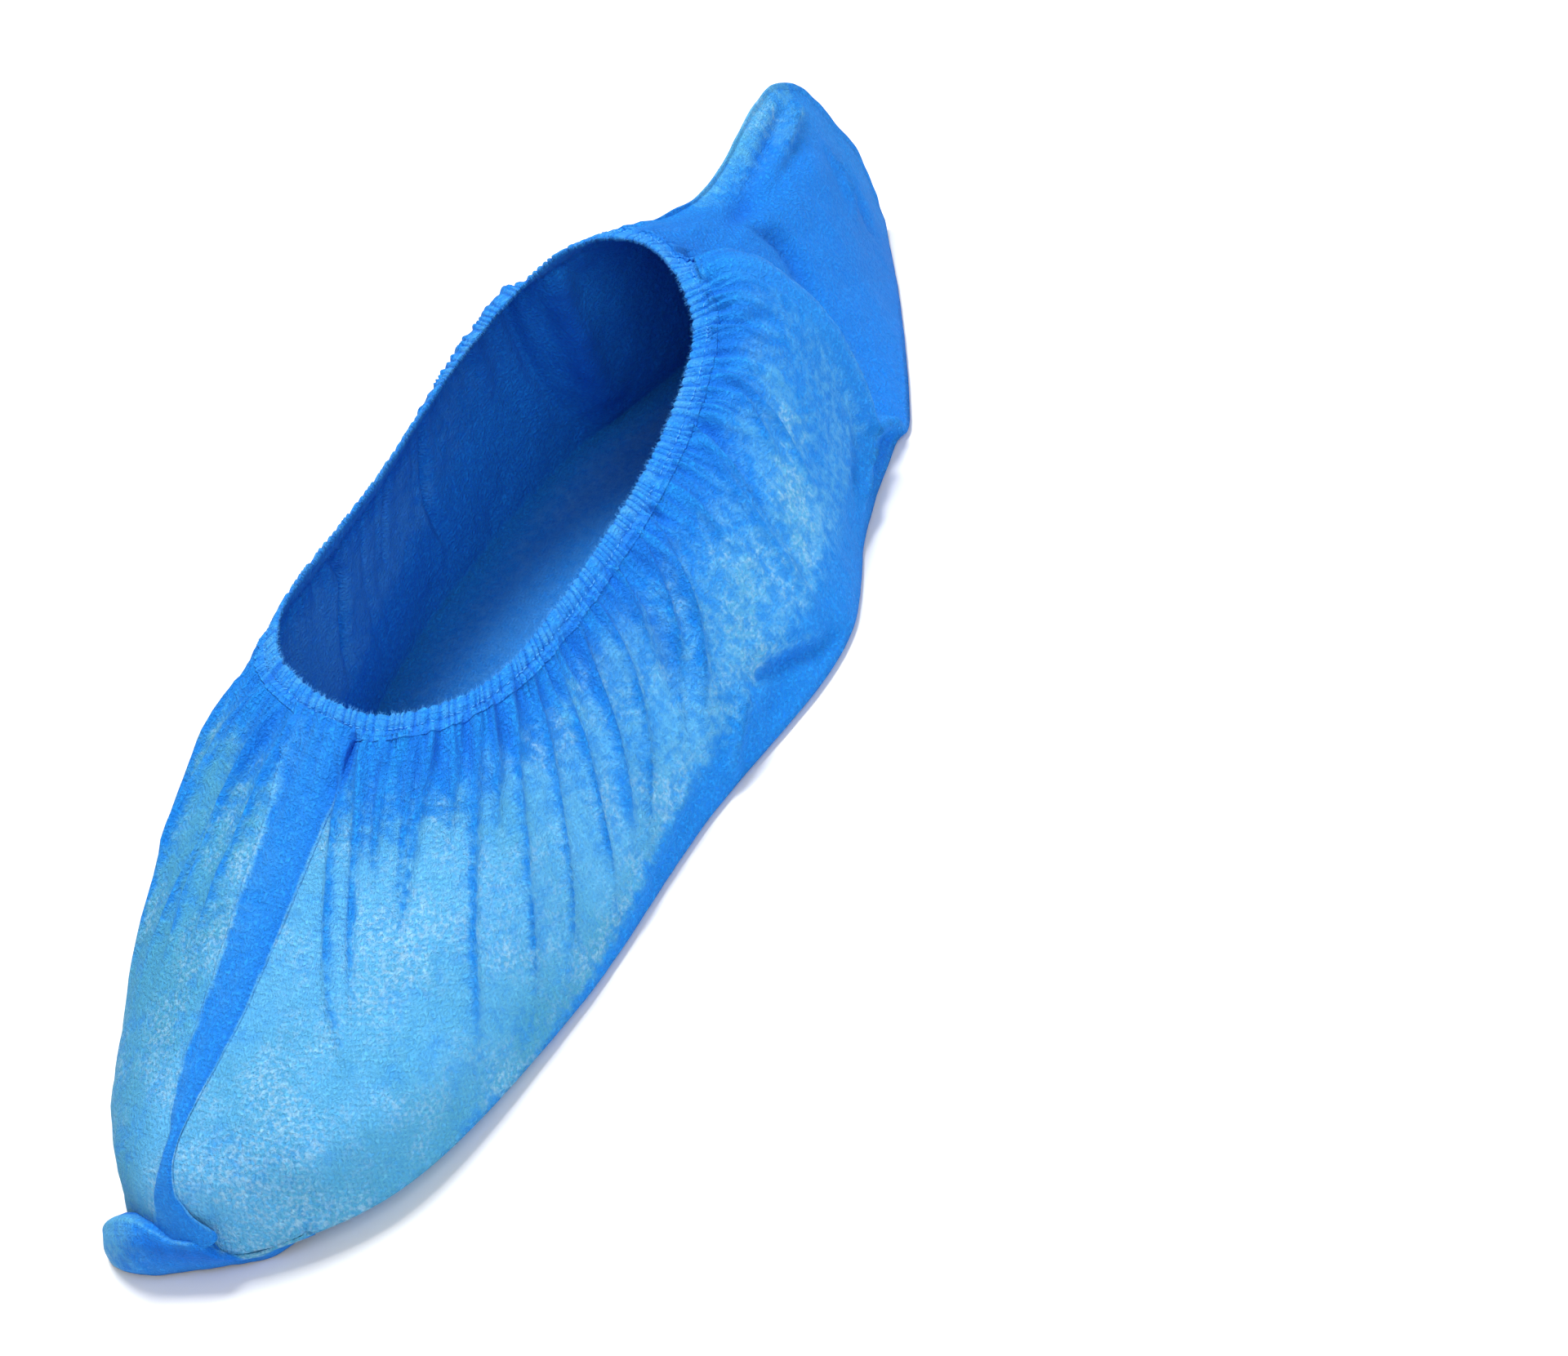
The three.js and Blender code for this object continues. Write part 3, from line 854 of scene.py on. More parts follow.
def ring_corners(faces: list[tuple[int, ...]], columns: int) -> list[tuple[int, int, int]]:
    """Where the corners of a ring's faces lie on flat cloth, which doesn't close on itself.

    Args:
        faces: Points of each face.
        columns: Points in a row.

    Returns:
        For each corner its row, its column and the column of its face's first corner. The first column
        gets the number of columns instead in the faces that close the ring.
    """
    corners = []
    for face in faces:
        first = face[0] % columns
        for index in face:
            row, column = divmod(index, columns)
            closing = column == 0 and first == columns - 1
            corners.append((row, columns if closing else column, first))
    return corners


def patch(
    name: str, grid: Array, values: dict[str, Array], pitch: tuple[float, float], flipped: bool = False
) -> Skin:
    """Skin of an open grid of points, with its cloth laid out evenly.

    Args:
        name: Name of the piece.
        grid: Rows and columns of points, in millimetres.
        values: Values at the points.
        pitch: Flat cloth between two columns and between two rows, in millimetres.
        flipped: Whether its faces look the other way.

    Returns:
        The skin, still without its material.
    """
    rows, columns = grid.shape[:2]
    faces = grid_faces(rows, columns, False)
    if flipped:
        faces = [tuple(reversed(face)) for face in faces]
    across, along = pitch
    corners = [(across * (index % columns), along * (index // columns)) for face in faces for index in face]
    return Skin(name, grid.reshape(-1, 3), faces, values, np.array(corners) * MM)


def thicken(piece: bpy.types.Object, thickness: float, offset: float = -1.0) -> None:
    """Gives a sheet its thickness.

    Args:
        piece: The sheet.
        thickness: In millimetres.
        offset: -1 to add it on the inner side, 0 on both sides.
    """
    wall = piece.modifiers.new("cloth_thickness", "SOLIDIFY")
    wall.thickness = thickness * MM
    wall.offset = offset
    wall.material_offset = 1 if len(piece.data.materials) > 1 else 0


def settle(piece: bpy.types.Object, slot: str, *nodes: str) -> bpy.types.Object:
    """Makes a piece ride on the cover and hides the nodes that it stands for.

    Args:
        piece: The piece.
        slot: Not used.
        nodes: Nodes of the frame that it replaces.

    Returns:
        The same piece.
    """
    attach(piece, "root")
    if nodes:
        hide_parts(*nodes)
    log.info("%s: %d faces", piece.name, len(piece.data.polygons))
    return piece


# ---- finishes ---------------------------------------------------------------------------------------


class Nodes:
    """Small helper that adds and links the nodes of one tree."""

    def __init__(self, tree: bpy.types.NodeTree) -> None:
        """Keeps the tree and empties it."""
        self.tree = tree
        tree.nodes.clear()

    def add(self, kind: str, inputs: dict | None = None, **settings: object) -> bpy.types.Node:
        """Adds a node.

        Args:
            kind: Blender's name of the node.
            inputs: What each input takes, a value or the socket of another node.
            settings: The node's own properties.

        Returns:
            The new node.
        """
        node = self.tree.nodes.new(kind)
        for name, value in settings.items():
            setattr(node, name, value)
        for name, value in (inputs or {}).items():
            socket = node.inputs[name]
            if isinstance(value, bpy.types.NodeSocket):
                self.tree.links.new(value, socket)
            else:
                socket.default_value = value
        return node

    def math(self, operation: str, *values: object, clamp: bool = False) -> bpy.types.NodeSocket:
        """Result of a math node on the values."""
        node = self.add("ShaderNodeMath", dict(enumerate(values)), operation=operation, use_clamp=clamp)
        return node.outputs[0]

    def ramp(self, value: object, low: float, high: float) -> bpy.types.NodeSocket:
        """Smooth step of a value between two limits."""
        sockets = {"Value": value, "From Min": low, "From Max": high}
        return self.add("ShaderNodeMapRange", sockets, interpolation_type="SMOOTHSTEP").outputs[0]

    def mix(self, factor: object, first: object, second: object) -> bpy.types.NodeSocket:
        """Mix of two colours.

        Args:
            factor: Share of the second colour.
            first: A colour or its socket.
            second: Another one.

        Returns:
            The mixed colour.
        """
        node = self.add("ShaderNodeMix", data_type="RGBA", blend_type="MIX")
        for index, value in ((0, factor), (6, first), (7, second)):
            if isinstance(value, bpy.types.NodeSocket):
                self.tree.links.new(value, node.inputs[index])
            else:
                node.inputs[index].default_value = value
        return node.outputs[2]


def shader_group(name: str, inputs: dict[str, str], outputs: dict[str, str]) -> Nodes:
    """Starts a shader node group with named inputs and outputs.

    Args:
        name: Name of the group.
        inputs: Socket type of each input.
        outputs: Socket type of each output.

    Returns:
        Helper that adds the nodes.
    """
    tree = bpy.data.node_groups.new(name, "ShaderNodeTree")
    for title, kind in inputs.items():
        tree.interface.new_socket(name=title, in_out="INPUT", socket_type=kind)
    for title, kind in outputs.items():
        tree.interface.new_socket(name=title, in_out="OUTPUT", socket_type=kind)
    return Nodes(tree)


def fibre_web() -> bpy.types.NodeTree:
    """Laid fibres of spunbond cloth: clouds, mottles, fibres, flecks, bond points and relief.

    Returns:
        The node group.
    """
    masks = ("Cloud", "Mottle", "Tint", "Fibre", "Fleck", "Bond", "Relief")
    nodes = shader_group(
        "fibre_web",
        {"Place": "NodeSocketVector", "Flat Place": "NodeSocketVector"},
        {name: "NodeSocketFloat" for name in masks},
    )
    given = nodes.add("NodeGroupInput").outputs

    def in_millimetres(vector: bpy.types.NodeSocket) -> bpy.types.NodeSocket:
        """Vector in millimetres."""
        sockets = {0: vector, "Scale": 1000.0}
        return nodes.add("ShaderNodeVectorMath", sockets, operation="SCALE").outputs[0]

    def noise_of(vector: object, scale: float, detail: float, roughness: float) -> bpy.types.NodeSocket:
        """Value of a noise texture; the scale is in waves to a millimetre."""
        inputs = {"Vector": vector, "Scale": scale, "Detail": detail, "Roughness": roughness}
        return nodes.add("ShaderNodeTexNoise", inputs).outputs["Fac"]

    def moved(shift: float) -> bpy.types.NodeSocket:
        """The place, moved so that a texture differs from the others."""
        inputs = {"Vector": place, "Location": (shift, shift, shift)}
        return nodes.add("ShaderNodeMapping", inputs).outputs[0]

    place, flat = in_millimetres(given["Place"]), in_millimetres(given["Flat Place"])
    lengthwise = nodes.add("ShaderNodeMapping", {"Vector": place, "Scale": (1.0, 0.7, 0.9)}).outputs[0]
    crosswise = nodes.add(
        "ShaderNodeMapping", {"Vector": place, "Scale": (1.1, 0.8, 1.0), "Rotation": (0.3, 0.2, 0.7)}
    ).outputs[0]
    cloud = nodes.ramp(noise_of(place, 0.05, 2.0, 0.55), 0.3, 0.7)
    mottle = nodes.ramp(noise_of(moved(31.0), 0.3, 3.0, 0.6), 0.32, 0.68)
    tint = nodes.ramp(noise_of(moved(77.0), 0.035, 3.0, 0.6), 0.4, 0.66)
    strands = nodes.math("ADD", noise_of(lengthwise, 1.3, 3.0, 0.7), noise_of(crosswise, 1.15, 3.0, 0.7))
    fibre = nodes.ramp(nodes.math("MULTIPLY", strands, 0.5), 0.4, 0.6)
    patches = nodes.ramp(noise_of(moved(12.0), 0.045, 3.0, 0.6), 0.4, 0.66)
    specks = nodes.ramp(noise_of(moved(55.0), 0.85, 2.0, 0.5), 0.38, 0.74)
    fleck = nodes.math("MULTIPLY", patches, specks)
    cells = nodes.add(
        "ShaderNodeTexVoronoi",
        {"Vector": flat, "Scale": 0.8, "Randomness": 0.12},
        voronoi_dimensions="2D",
    ).outputs["Distance"]
    bond = nodes.ramp(cells, 0.34, 0.2)
    raised = nodes.math("ADD", nodes.math("MULTIPLY", fibre, 0.75), nodes.math("MULTIPLY", mottle, 0.6))
    relief = nodes.math("SUBTRACT", raised, nodes.math("MULTIPLY", bond, 0.25))
    made = {"Cloud": cloud, "Mottle": mottle, "Tint": tint, "Fibre": fibre, "Fleck": fleck}
    nodes.add("NodeGroupOutput", {**made, "Bond": bond, "Relief": relief})
    return nodes.tree


def cloth_colour() -> bpy.types.NodeTree:
    """Colour of the cloth: saturated where it hangs free, pale and flecked where it lies close, painted
    shade in folds.

    Returns:
        The node group.
    """
    colours = {name: "NodeSocketColor" for name in ("Deep", "Free", "Close", "Teal And Shade", "Frost")}
    masks = ("Touch", "Crease", "Shade", "Cloud", "Mottle", "Tint", "Fibre", "Fleck", "Bond")
    values = {name: "NodeSocketFloat" for name in masks}
    nodes = shader_group("cloth_colour", {**colours, **values}, {"Color": "NodeSocketColor"})
    given = nodes.add("NodeGroupInput").outputs
    drift = nodes.math("MULTIPLY_ADD", given["Cloud"], 0.3, -0.15)
    ripple = nodes.math("MULTIPLY_ADD", given["Mottle"], 0.46, -0.28)
    lying = nodes.math("MULTIPLY", nodes.ramp(given["Touch"], 0.05, 0.3), nodes.math("ADD", drift, ripple))
    closeness = nodes.ramp(nodes.math("ADD", given["Touch"], lying), -0.05, 1.0)
    grain = nodes.math("SUBTRACT", 1.0, given["Fibre"])
    free = nodes.mix(nodes.math("MULTIPLY", grain, 0.55), given["Free"], given["Deep"])
    # painted shade (Shade) is added to the random teal patches (Tint)
    tint_and_shade = nodes.math("ADD", nodes.math("MULTIPLY", given["Tint"], 0.45), given["Shade"], clamp=True)
    calm = nodes.mix(tint_and_shade, given["Close"], given["Teal And Shade"])
    resting = nodes.mix(nodes.math("MULTIPLY", grain, 0.22), calm, given["Free"])
    close = nodes.mix(closeness, free, resting)
    # painted shade: folds darken towards the deep colour
    with_fold_shade = nodes.mix(nodes.math("MULTIPLY", given["Crease"], 0.8), close, given["Deep"])
    near = nodes.ramp(closeness, 0.35, 0.95)
    lit = nodes.math("MULTIPLY", near, nodes.math("MULTIPLY", given["Fleck"], 0.58))
    flecked = nodes.mix(lit, with_fold_shade, given["Frost"])
    dots = nodes.math("MULTIPLY", given["Bond"], nodes.math("MULTIPLY_ADD", closeness, 0.04, 0.08))
    nodes.add("NodeGroupOutput", {"Color": nodes.mix(dots, flecked, given["Deep"])})
    return nodes.tree


@dataclass(frozen=True)
class ClothFinish:
    """Spunbond cloth in its colours, from the painted shade of the darkest folds to the frosted flecks."""

    name: str
    # the darkest blue, for the grain and the bond dots, and as painted shade in folds
    deep: str = "0A6AD8"
    free: str = "1C92F0"
    close: str = "62BAEE"
    # teal of random patches, and of the painted shade on close cloth
    teal_and_shade: str = "50A6CA"
    frost: str = "B4DEF6"
    sheen_tint: str = "9CCBFA"
    roughness: float = 0.8
    gloss: float = 0.15
    sheen: float = 0.06
    sheen_roughness: float = 0.5
    relief: float = 0.42

    def build(self, web: bpy.types.NodeTree, colouring: bpy.types.NodeTree) -> bpy.types.Material:
        """Makes the material from the shared groups.

        Args:
            web: Group with the laid fibres.
            colouring: Group that colours the cloth.

        Returns:
            The material.
        """
        material = bpy.data.materials.new(self.name)
        material.use_nodes = True
        nodes = Nodes(material.node_tree)
        place = nodes.add("ShaderNodeTexCoord")
        fibres = nodes.add("ShaderNodeGroup", node_tree=web)
        for title, output in (("Place", "Object"), ("Flat Place", "UV")):
            nodes.tree.links.new(place.outputs[output], fibres.inputs[title])
        tint = nodes.add("ShaderNodeGroup", node_tree=colouring)
        for title in ("Cloud", "Mottle", "Tint", "Fibre", "Fleck", "Bond"):
            nodes.tree.links.new(fibres.outputs[title], tint.inputs[title])
        for title, name in (("Touch", "touch"), ("Crease", "crease"), ("Shade", "shade")):
            value = nodes.add("ShaderNodeAttribute", attribute_name=name)
            nodes.tree.links.new(value.outputs["Fac"], tint.inputs[title])
        codes = {"Deep": self.deep, "Free": self.free, "Close": self.close, "Frost": self.frost}
        for title, code in {**codes, "Teal And Shade": self.teal_and_shade}.items():
            tint.inputs[title].default_value = colour(code)
        raised = {"Height": fibres.outputs["Relief"], "Distance": self.relief * MM}
        bump = nodes.add("ShaderNodeBump", raised)
        surface = nodes.add("ShaderNodeBsdfPrincipled", {
            "Base Color": tint.outputs["Color"],
            "Normal": bump.outputs["Normal"],
            "Roughness": self.roughness,
            "Specular IOR Level": self.gloss,
            "Sheen Weight": self.sheen,
            "Sheen Roughness": self.sheen_roughness,
            "Sheen Tint": colour(self.sheen_tint),
        })
        nodes.add("ShaderNodeOutputMaterial", {"Surface": surface.outputs["BSDF"]})
        return material


# ---- pieces -----------------------------------------------------------------------------------------


@dataclass
class CoverBody:
    """The bag itself: wall, floor fold and sole, in one sheet."""

    wall: DrapedWall
    columns: int = 1040
    rows: int = 41
    sole_rows: int = 5
    tuck: float = 1.6
    thickness: float = 0.4
    sole_level: float = -1.4
    sole_rise: float = 4.0
    crowding: float = 1.15
    tail: Zone = Zone((7.0, 8.0), (10.0, 11.0))
    quiet: float = 0.45
    flat_middle: float = 6.0

    def places(self) -> Array:
        """Places around the cover of the columns, with one on the toe and one on the tail.

        Returns:
            A place for each column, closer together on the tail.
        """
        shape = self.wall.shape
        half = self.columns // 2
        sides = []
        for start in (0, shape.tail):
            fine = np.linspace(start, start + shape.spans / 2, 1001)
            hem_run, floor_run = (run_along(shape.wall(fine, down)) for down in (0.0, 1.0))
            blend = 0.5 * (hem_run / hem_run[-1]) + 0.5 * (floor_run / floor_run[-1])
            quiet = 1 - self.quiet * self.tail.share(fine)
            dense = np.concatenate([[0.0], np.cumsum(np.diff(blend) * quiet[1:])])
            sides.append(np.interp(np.linspace(0, dense[-1], half, endpoint=False), dense, fine))
        return np.concatenate(sides)

    def build(self, material: bpy.types.Material, lining: bpy.types.Material) -> bpy.types.Object:
        """Makes the sheet and dresses it.

        Args:
            material: Finish of the outer side.
            lining: Plainer finish of the inner side.

        Returns:
            The piece, which rides on the cover.
        """
        around = self.places()
        top = self.wall.shape.down_after(around, self.wall.hem_width - self.tuck)
        down = top + (1 - top) * np.linspace(0, 1, self.rows)[:, None] ** self.crowding
        relief = self.wall.relief(np.broadcast_to(around, down.shape), down)
        sole, spine = self._sole(relief["point"][-1])
        grid = np.concatenate([relief["point"], sole])
        faces = grid_faces(len(grid), self.columns, True)
        first, last = grid.shape[0] * self.columns, (grid.shape[0] - 1) * self.columns
        for column in range(self.columns):
            right = (column + 1) % self.columns
            ends = [first + min(index, self.columns - index) for index in (column, right)]
            corner = (last + column, ends[0], ends[1], last + right)
            faces.append(tuple(dict.fromkeys(corner)))
        flat = np.concatenate([grid.reshape(-1, 3), spine])
        beneath = sole.shape[0] * self.columns
        values = {}
        # under the sole: fixed paleness, no painted fold shade and some painted shade
        for name, below, middle in (("touch", 0.7, 0.7), ("crease", 0.0, 0.0), ("shade", 0.5, 0.7)):
            added = (np.full(beneath, below), np.full(len(spine), middle))
            values[name] = np.concatenate([relief[name].ravel(), *added])
        piece = Skin("bag_cloth", flat, faces, values, self._flat_places(grid, faces)).build(material)
        piece.data.materials.append(lining)
        thicken(piece, self.thickness)
        return settle(piece, "cloth", "cover_body")

    def _sole(self, fold: Array) -> tuple[Array, Array]:
        """Sole between the floor fold and its middle line.

        Args:
            fold: Points of the floor fold, once around.

        Returns:
            Rows of points of the sole, and the points of its middle line, from the toe to the tail.
        """
        mirror = fold[(-np.arange(self.columns)) % self.columns]
        centre = (fold + mirror) / 2
        middle = centre * np.array([0.5, 0.94, 0.0])
        middle[:, 2] = np.minimum(centre[:, 2], self.sole_rise) + self.sole_level
        rows = []
        for row in range(1, self.sole_rows):
            share = (row / self.sole_rows) ** 0.8
            level = (1 - share) * np.minimum(fold[:, 2], self.sole_rise)
            level = level + share * (middle[:, 2] - self.sole_level)
            line = (1 - share) * fold + share * middle
            line[:, 2] = level + self.sole_level * min(1.0, 2.5 * share)
            rows.append(line)
        return np.array(rows), middle[: self.columns // 2 + 1]

    def _flat_places(self, grid: Array, faces: list[tuple[int, ...]]) -> Array:
        """Places on the flat cloth of each corner of each face.

        Args:
            grid: Points of the sheet, in rows from the hem to the sole.
            faces: Points of each face.

        Returns:
            Pairs of numbers, in metres.
        """
        floor = grid[self.rows - 1]
        across = run_along(np.concatenate([floor, floor[:1]]))
        depth = run_along(grid)
        corners = []
        for row, column, first in ring_corners(faces, self.columns):
            if row < len(depth):
                corners.append((across[column], depth[row, column % self.columns]))
            else:
                corners.append((across[first], depth[-1, first] + self.flat_middle))
        return np.array(corners) * MM


@dataclass
class Places:
    """Places at which small shapes stand, each with its long direction and the direction it faces."""

    points: Array
    along: Array
    facing: Array


class Grain(Enum):
    """Shape that is set at the places."""

    STITCH = "stitch"
    FIBRE = "fibre"


@dataclass
class Trimming:
    """Many small shapes of thread or fibre, set at places by geometry nodes."""

    name: str
    grain: Grain
    length: float
    width: float
    lean: float
    seed: int = 3

    def tree(self) -> bpy.types.NodeTree:
        """Sets the shape at each point, a little varied, and gives it its finish.

        Returns:
            The geometry tree.
        """
        tree = bpy.data.node_groups.new(self.name, "GeometryNodeTree")
        sockets = (
            ("Geometry", "NodeSocketGeometry"),
            ("Length", "NodeSocketFloat"),
            ("Width", "NodeSocketFloat"),
            ("Lean", "NodeSocketFloat"),
            ("Seed", "NodeSocketInt"),
            ("Finish", "NodeSocketMaterial"),
        )
        for title, kind in sockets:
            tree.interface.new_socket(name=title, in_out="INPUT", socket_type=kind)
        tree.interface.new_socket(name="Geometry", in_out="OUTPUT", socket_type="NodeSocketGeometry")
        nodes = Nodes(tree)
        given = nodes.add("NodeGroupInput").outputs
        along, facing = (
            nodes.add("GeometryNodeInputNamedAttribute", {"Name": name}, data_type="FLOAT_VECTOR")
            for name in ("along", "facing")
        )
        axes = {"Primary Axis": along.outputs[0], "Secondary Axis": facing.outputs[0]}
        turn = nodes.add("FunctionNodeAxesToRotation", axes, primary_axis="Z", secondary_axis="X")
        least = nodes.math("MULTIPLY", given["Lean"], -1.0)
        limits = [
            nodes.add("ShaderNodeCombineXYZ", {"X": side, "Y": side, "Z": 0.0}).outputs[0]
            for side in (least, given["Lean"])
        ]
        sway = nodes.add("FunctionNodeRandomValue", data_type="FLOAT_VECTOR")
        size = nodes.add("FunctionNodeRandomValue", data_type="FLOAT")
        for socket, value in ((sway.inputs[0], limits[0]), (sway.inputs[1], limits[1])):
            tree.links.new(value, socket)
        size.inputs[2].default_value, size.inputs[3].default_value = 0.6, 1.25
        for node in (sway, size):
            tree.links.new(given["Seed"], node.inputs["Seed"])
        swayed = nodes.add(
            "FunctionNodeRotateRotation",
            {"Rotation": turn.outputs[0], "Rotate By": sway.outputs[0]},
            rotation_space="LOCAL",
        ).outputs[0]
        length = nodes.math("MULTIPLY", given["Length"], size.outputs[1])
        scale = nodes.add("ShaderNodeCombineXYZ", {"X": given["Width"], "Y": given["Width"], "Z": length})
        placed = nodes.add("GeometryNodeInstanceOnPoints", {
            "Points": given["Geometry"],
            "Instance": self._shape(nodes),
            "Rotation": swayed,
            "Scale": scale.outputs[0],
        })
        real = nodes.add("GeometryNodeRealizeInstances", {"Geometry": placed.outputs[0]})
        dressing = {"Geometry": real.outputs[0], "Material": given["Finish"]}
        dressed = nodes.add("GeometryNodeSetMaterial", dressing)
        nodes.add("NodeGroupOutput", {"Geometry": dressed.outputs[0]})
        return tree

    def _shape(self, nodes: Nodes) -> bpy.types.NodeSocket:
        """One shape of length and width one; a fibre starts at its place, a stitch has it in its middle.

        Args:
            nodes: Helper of the tree.

        Returns:
            Socket of the shape.
        """
        if self.grain is Grain.STITCH:
            ball = nodes.add("GeometryNodeMeshUVSphere", {"Segments": 8, "Rings": 6, "Radius": 0.5})
            return ball.outputs[0]
        sizes = {"Vertices": 4, "Side Segments": 2, "Radius Top": 0.15, "Radius Bottom": 0.5, "Depth": 1.0}
        return nodes.add("GeometryNodeMeshCone", sizes).outputs[0]

    def build(self, places: Places, finish: bpy.types.Material, slot: str) -> bpy.types.Object:
        """Sets the shapes and turns them into a plain mesh.

        Args:
            places: Where they stand.
            finish: Their material.
            slot: Name of their finish.

        Returns:
            The piece, which rides on the cover.
        """
        base = Skin(self.name, places.points, []).build(finish)
        for title, vectors in (("along", places.along), ("facing", places.facing)):
            attribute = base.data.attributes.new(title, "FLOAT_VECTOR", "POINT")
            attribute.data.foreach_set("vector", np.asarray(vectors, np.float32).ravel())
        tree = self.tree()
        modifier = base.modifiers.new("trimming", "NODES")
        modifier.node_group = tree
        values = {
            "Length": self.length * MM,
            "Width": self.width * MM,
            "Lean": self.lean,
            "Seed": self.seed,
            "Finish": finish,
        }
        for item in tree.interface.items_tree:
            if item.in_out == "INPUT" and item.name in values:
                modifier[item.identifier] = values[item.name]
        evaluated = base.evaluated_get(bpy.context.evaluated_depsgraph_get())
        solid = bpy.data.meshes.new_from_object(evaluated)
        base.modifiers.clear()
        base.data = solid
        return settle(base, slot)


@dataclass
class ElasticHem:
    """Gathered casing with its elastic, around the mouth."""

    wall: DrapedWall
    columns_per_pucker: int = 9
    thickness: float = 1.5
    proud: float = 0.55
    swell: float = 0.9
    scallop: float = 0.9
    stitch_part: float = 0.6
    groove: float = 0.4
    groove_part: float = 0.07
    wander: float = 0.35
    wander_size: float = 9.0
    over_body: float = 0.22
    under_body: float = 0.8
    fibres: int = 1500
    fibre_seed: int = 11
    face_points: int = 15
    back_points: int = 7
    gathering: float = 2.0
    flat_row: float = 0.7

    def section(self) -> Array:
        """Cross-section of the casing, once around.

        Returns:
            Pairs of a distance below the top edge and a distance outwards, in millimetres.
        """
        width, half = self.wall.hem_width, self.thickness / 2
        parts = np.linspace(0.03, 0.97, self.face_points)
        face = [(width * part, self.proud - 0.35 * half * (2 * part - 1) ** 4) for part in parts]
        inner = self.proud - self.thickness
        back = [(width * part, inner) for part in np.linspace(0.95, 0.05, self.back_points)]
        return np.array([(0.0, self.proud - half), *face, (width, self.proud - half), *back])

    def places(self) -> Array:
        """Places around the mouth of the columns, evenly along the edge.

        Returns:
            A place for each column.
        """
        wall = self.wall
        fine = np.linspace(0, wall.shape.spans, len(wall.hem_run))
        count = wall.puckers * self.columns_per_pucker
        return np.interp(np.linspace(0, wall.hem_run[-1], count, endpoint=False), wall.hem_run, fine)

    def surface(self) -> dict[str, Array]:
        """Shape of the casing.

        Returns:
            rows of points, their crease (painted shade), the directions outward and downward, and the phase
            of the puckers.
        """
        wall = self.wall
        around = self.places()
        count = len(around)
        phase = wall.pucker_phase(around)
        per_length = wall.shape.down_after(around, 1.0)
        outward = wall.shape.outward(around, 0.02)
        _, downward = wall.shape.axes(around, 0.02)
        strength = 0.75 + 0.25 * np.sin(7.3 * phase) * np.sin(2.1 * phase + 1)
        wander = self.wander * rough(wall.shape.wall(around, 0.0), self.wander_size)
        below_hem = wall.relief(around, per_length * wall.hem_width)
        smooth = wall.shape.wall(around, per_length * wall.hem_width)
        body_height = ((below_hem["point"] - smooth) * outward).sum(-1)
        rows, crease = [], []
        for below, out in self.section():
            part = below / wall.hem_width
            ridge = np.abs(np.sin(math.pi * phase)) ** 0.8
            bulge = math.sin(math.pi * min(max(part, 0.05), 0.95)) ** 0.35
            groove = self.groove * math.exp(-(((part - self.stitch_part) / self.groove_part) ** 2))
            swell = self.swell * strength * (ridge - 0.5) * bulge - groove
            outer = out > self.proud - self.thickness / 2 - 0.01
            lift = out + wander + (swell if outer else -0.4 * swell)
            joined = body_height + (self.over_body if outer else -self.under_body)
            lift = lift + (joined - lift) * ease(0.62, 0.98, part)
            dip = below + self.scallop * strength * (0.6 - ridge) * (1 - part) ** 2
            at = wall.shape.wall(around, np.maximum(dip, 0.0) * per_length)
            above = np.minimum(dip, 0.0)[:, None] * unit(downward)
            rows.append(at + above + outward * lift[:, None])
            # painted shade in the valleys of the puckers and in the stitched groove; the back of the casing
            # gets painted shade too
            pucker_shade = np.clip(1.2 - 1.7 * ridge + 0.6 * groove, 0, 1)
            crease.append(np.maximum(pucker_shade, below_hem["crease"] * part) if outer else np.full(count, 0.5))
        return {
            "rows": np.array(rows),
            "crease": np.array(crease),
            "outward": outward,
            "downward": unit(downward),
            "phase": phase,
        }

    def build(self, material: bpy.types.Material) -> bpy.types.Object:
        """Makes the casing and dresses it.

        Args:
            material: Finish of the piece.

        Returns:
            The piece, which rides on the cover.
        """
        surface = self.surface()
        grid = surface["rows"]
        rows, count = grid.shape[:2]
        points = rows * count
        faces = [tuple(index % points for index in face) for face in grid_faces(rows + 1, count, True)]
        touch = 0.28 - 0.2 * np.linspace(0, 1, self.face_points + 2)[:, None] ** 2 + np.zeros(count)
        touch = np.concatenate([touch, np.full((self.back_points, count), 0.2)])
        values = {"touch": touch.ravel(), "crease": surface["crease"].ravel()}
        uvs = self._flat_places(faces, count)
        piece = Skin("gathered_hem", grid.reshape(-1, 3), faces, values, uvs).build(material)
        return settle(piece, "hem", "elastic_hem")

    def stitch_places(self) -> Places:
        """Places of the stitches: on the crest of each pucker, along the stitched line.

        Returns:
            The places, with their directions.
        """
        surface = self.surface()
        parts = self.section()[: self.face_points + 2, 0] / self.wall.hem_width
        row = int(np.argmin(np.abs(parts - self.stitch_part)))
        near = surface["phase"] % 1.0
        crests = np.flatnonzero((near < 0.5) & (np.roll(near, -1) >= 0.5))
        line = surface["rows"][row]
        along = unit(np.roll(line, -1, axis=0) - np.roll(line, 1, axis=0))
        outward = surface["outward"]
        return Places(line[crests] + 0.12 * outward[crests], along[crests], outward[crests])

    def fringe_places(self) -> Places:
        """Places scattered along the top edge, from which fibres stand up.

        Returns:
            The places, with their directions.
        """
        surface = self.surface()
        dice = random.Random(self.fibre_seed)
        edge, outward = surface["rows"][0], surface["outward"]
        columns = np.array([dice.randrange(len(edge)) for _ in range(self.fibres)])
        sideways = np.array([dice.uniform(-0.6, 0.7) for _ in range(self.fibres)])[:, None]
        up = unit(-surface["downward"][columns] + sideways * outward[columns])
        return Places(edge[columns], up, outward[columns])

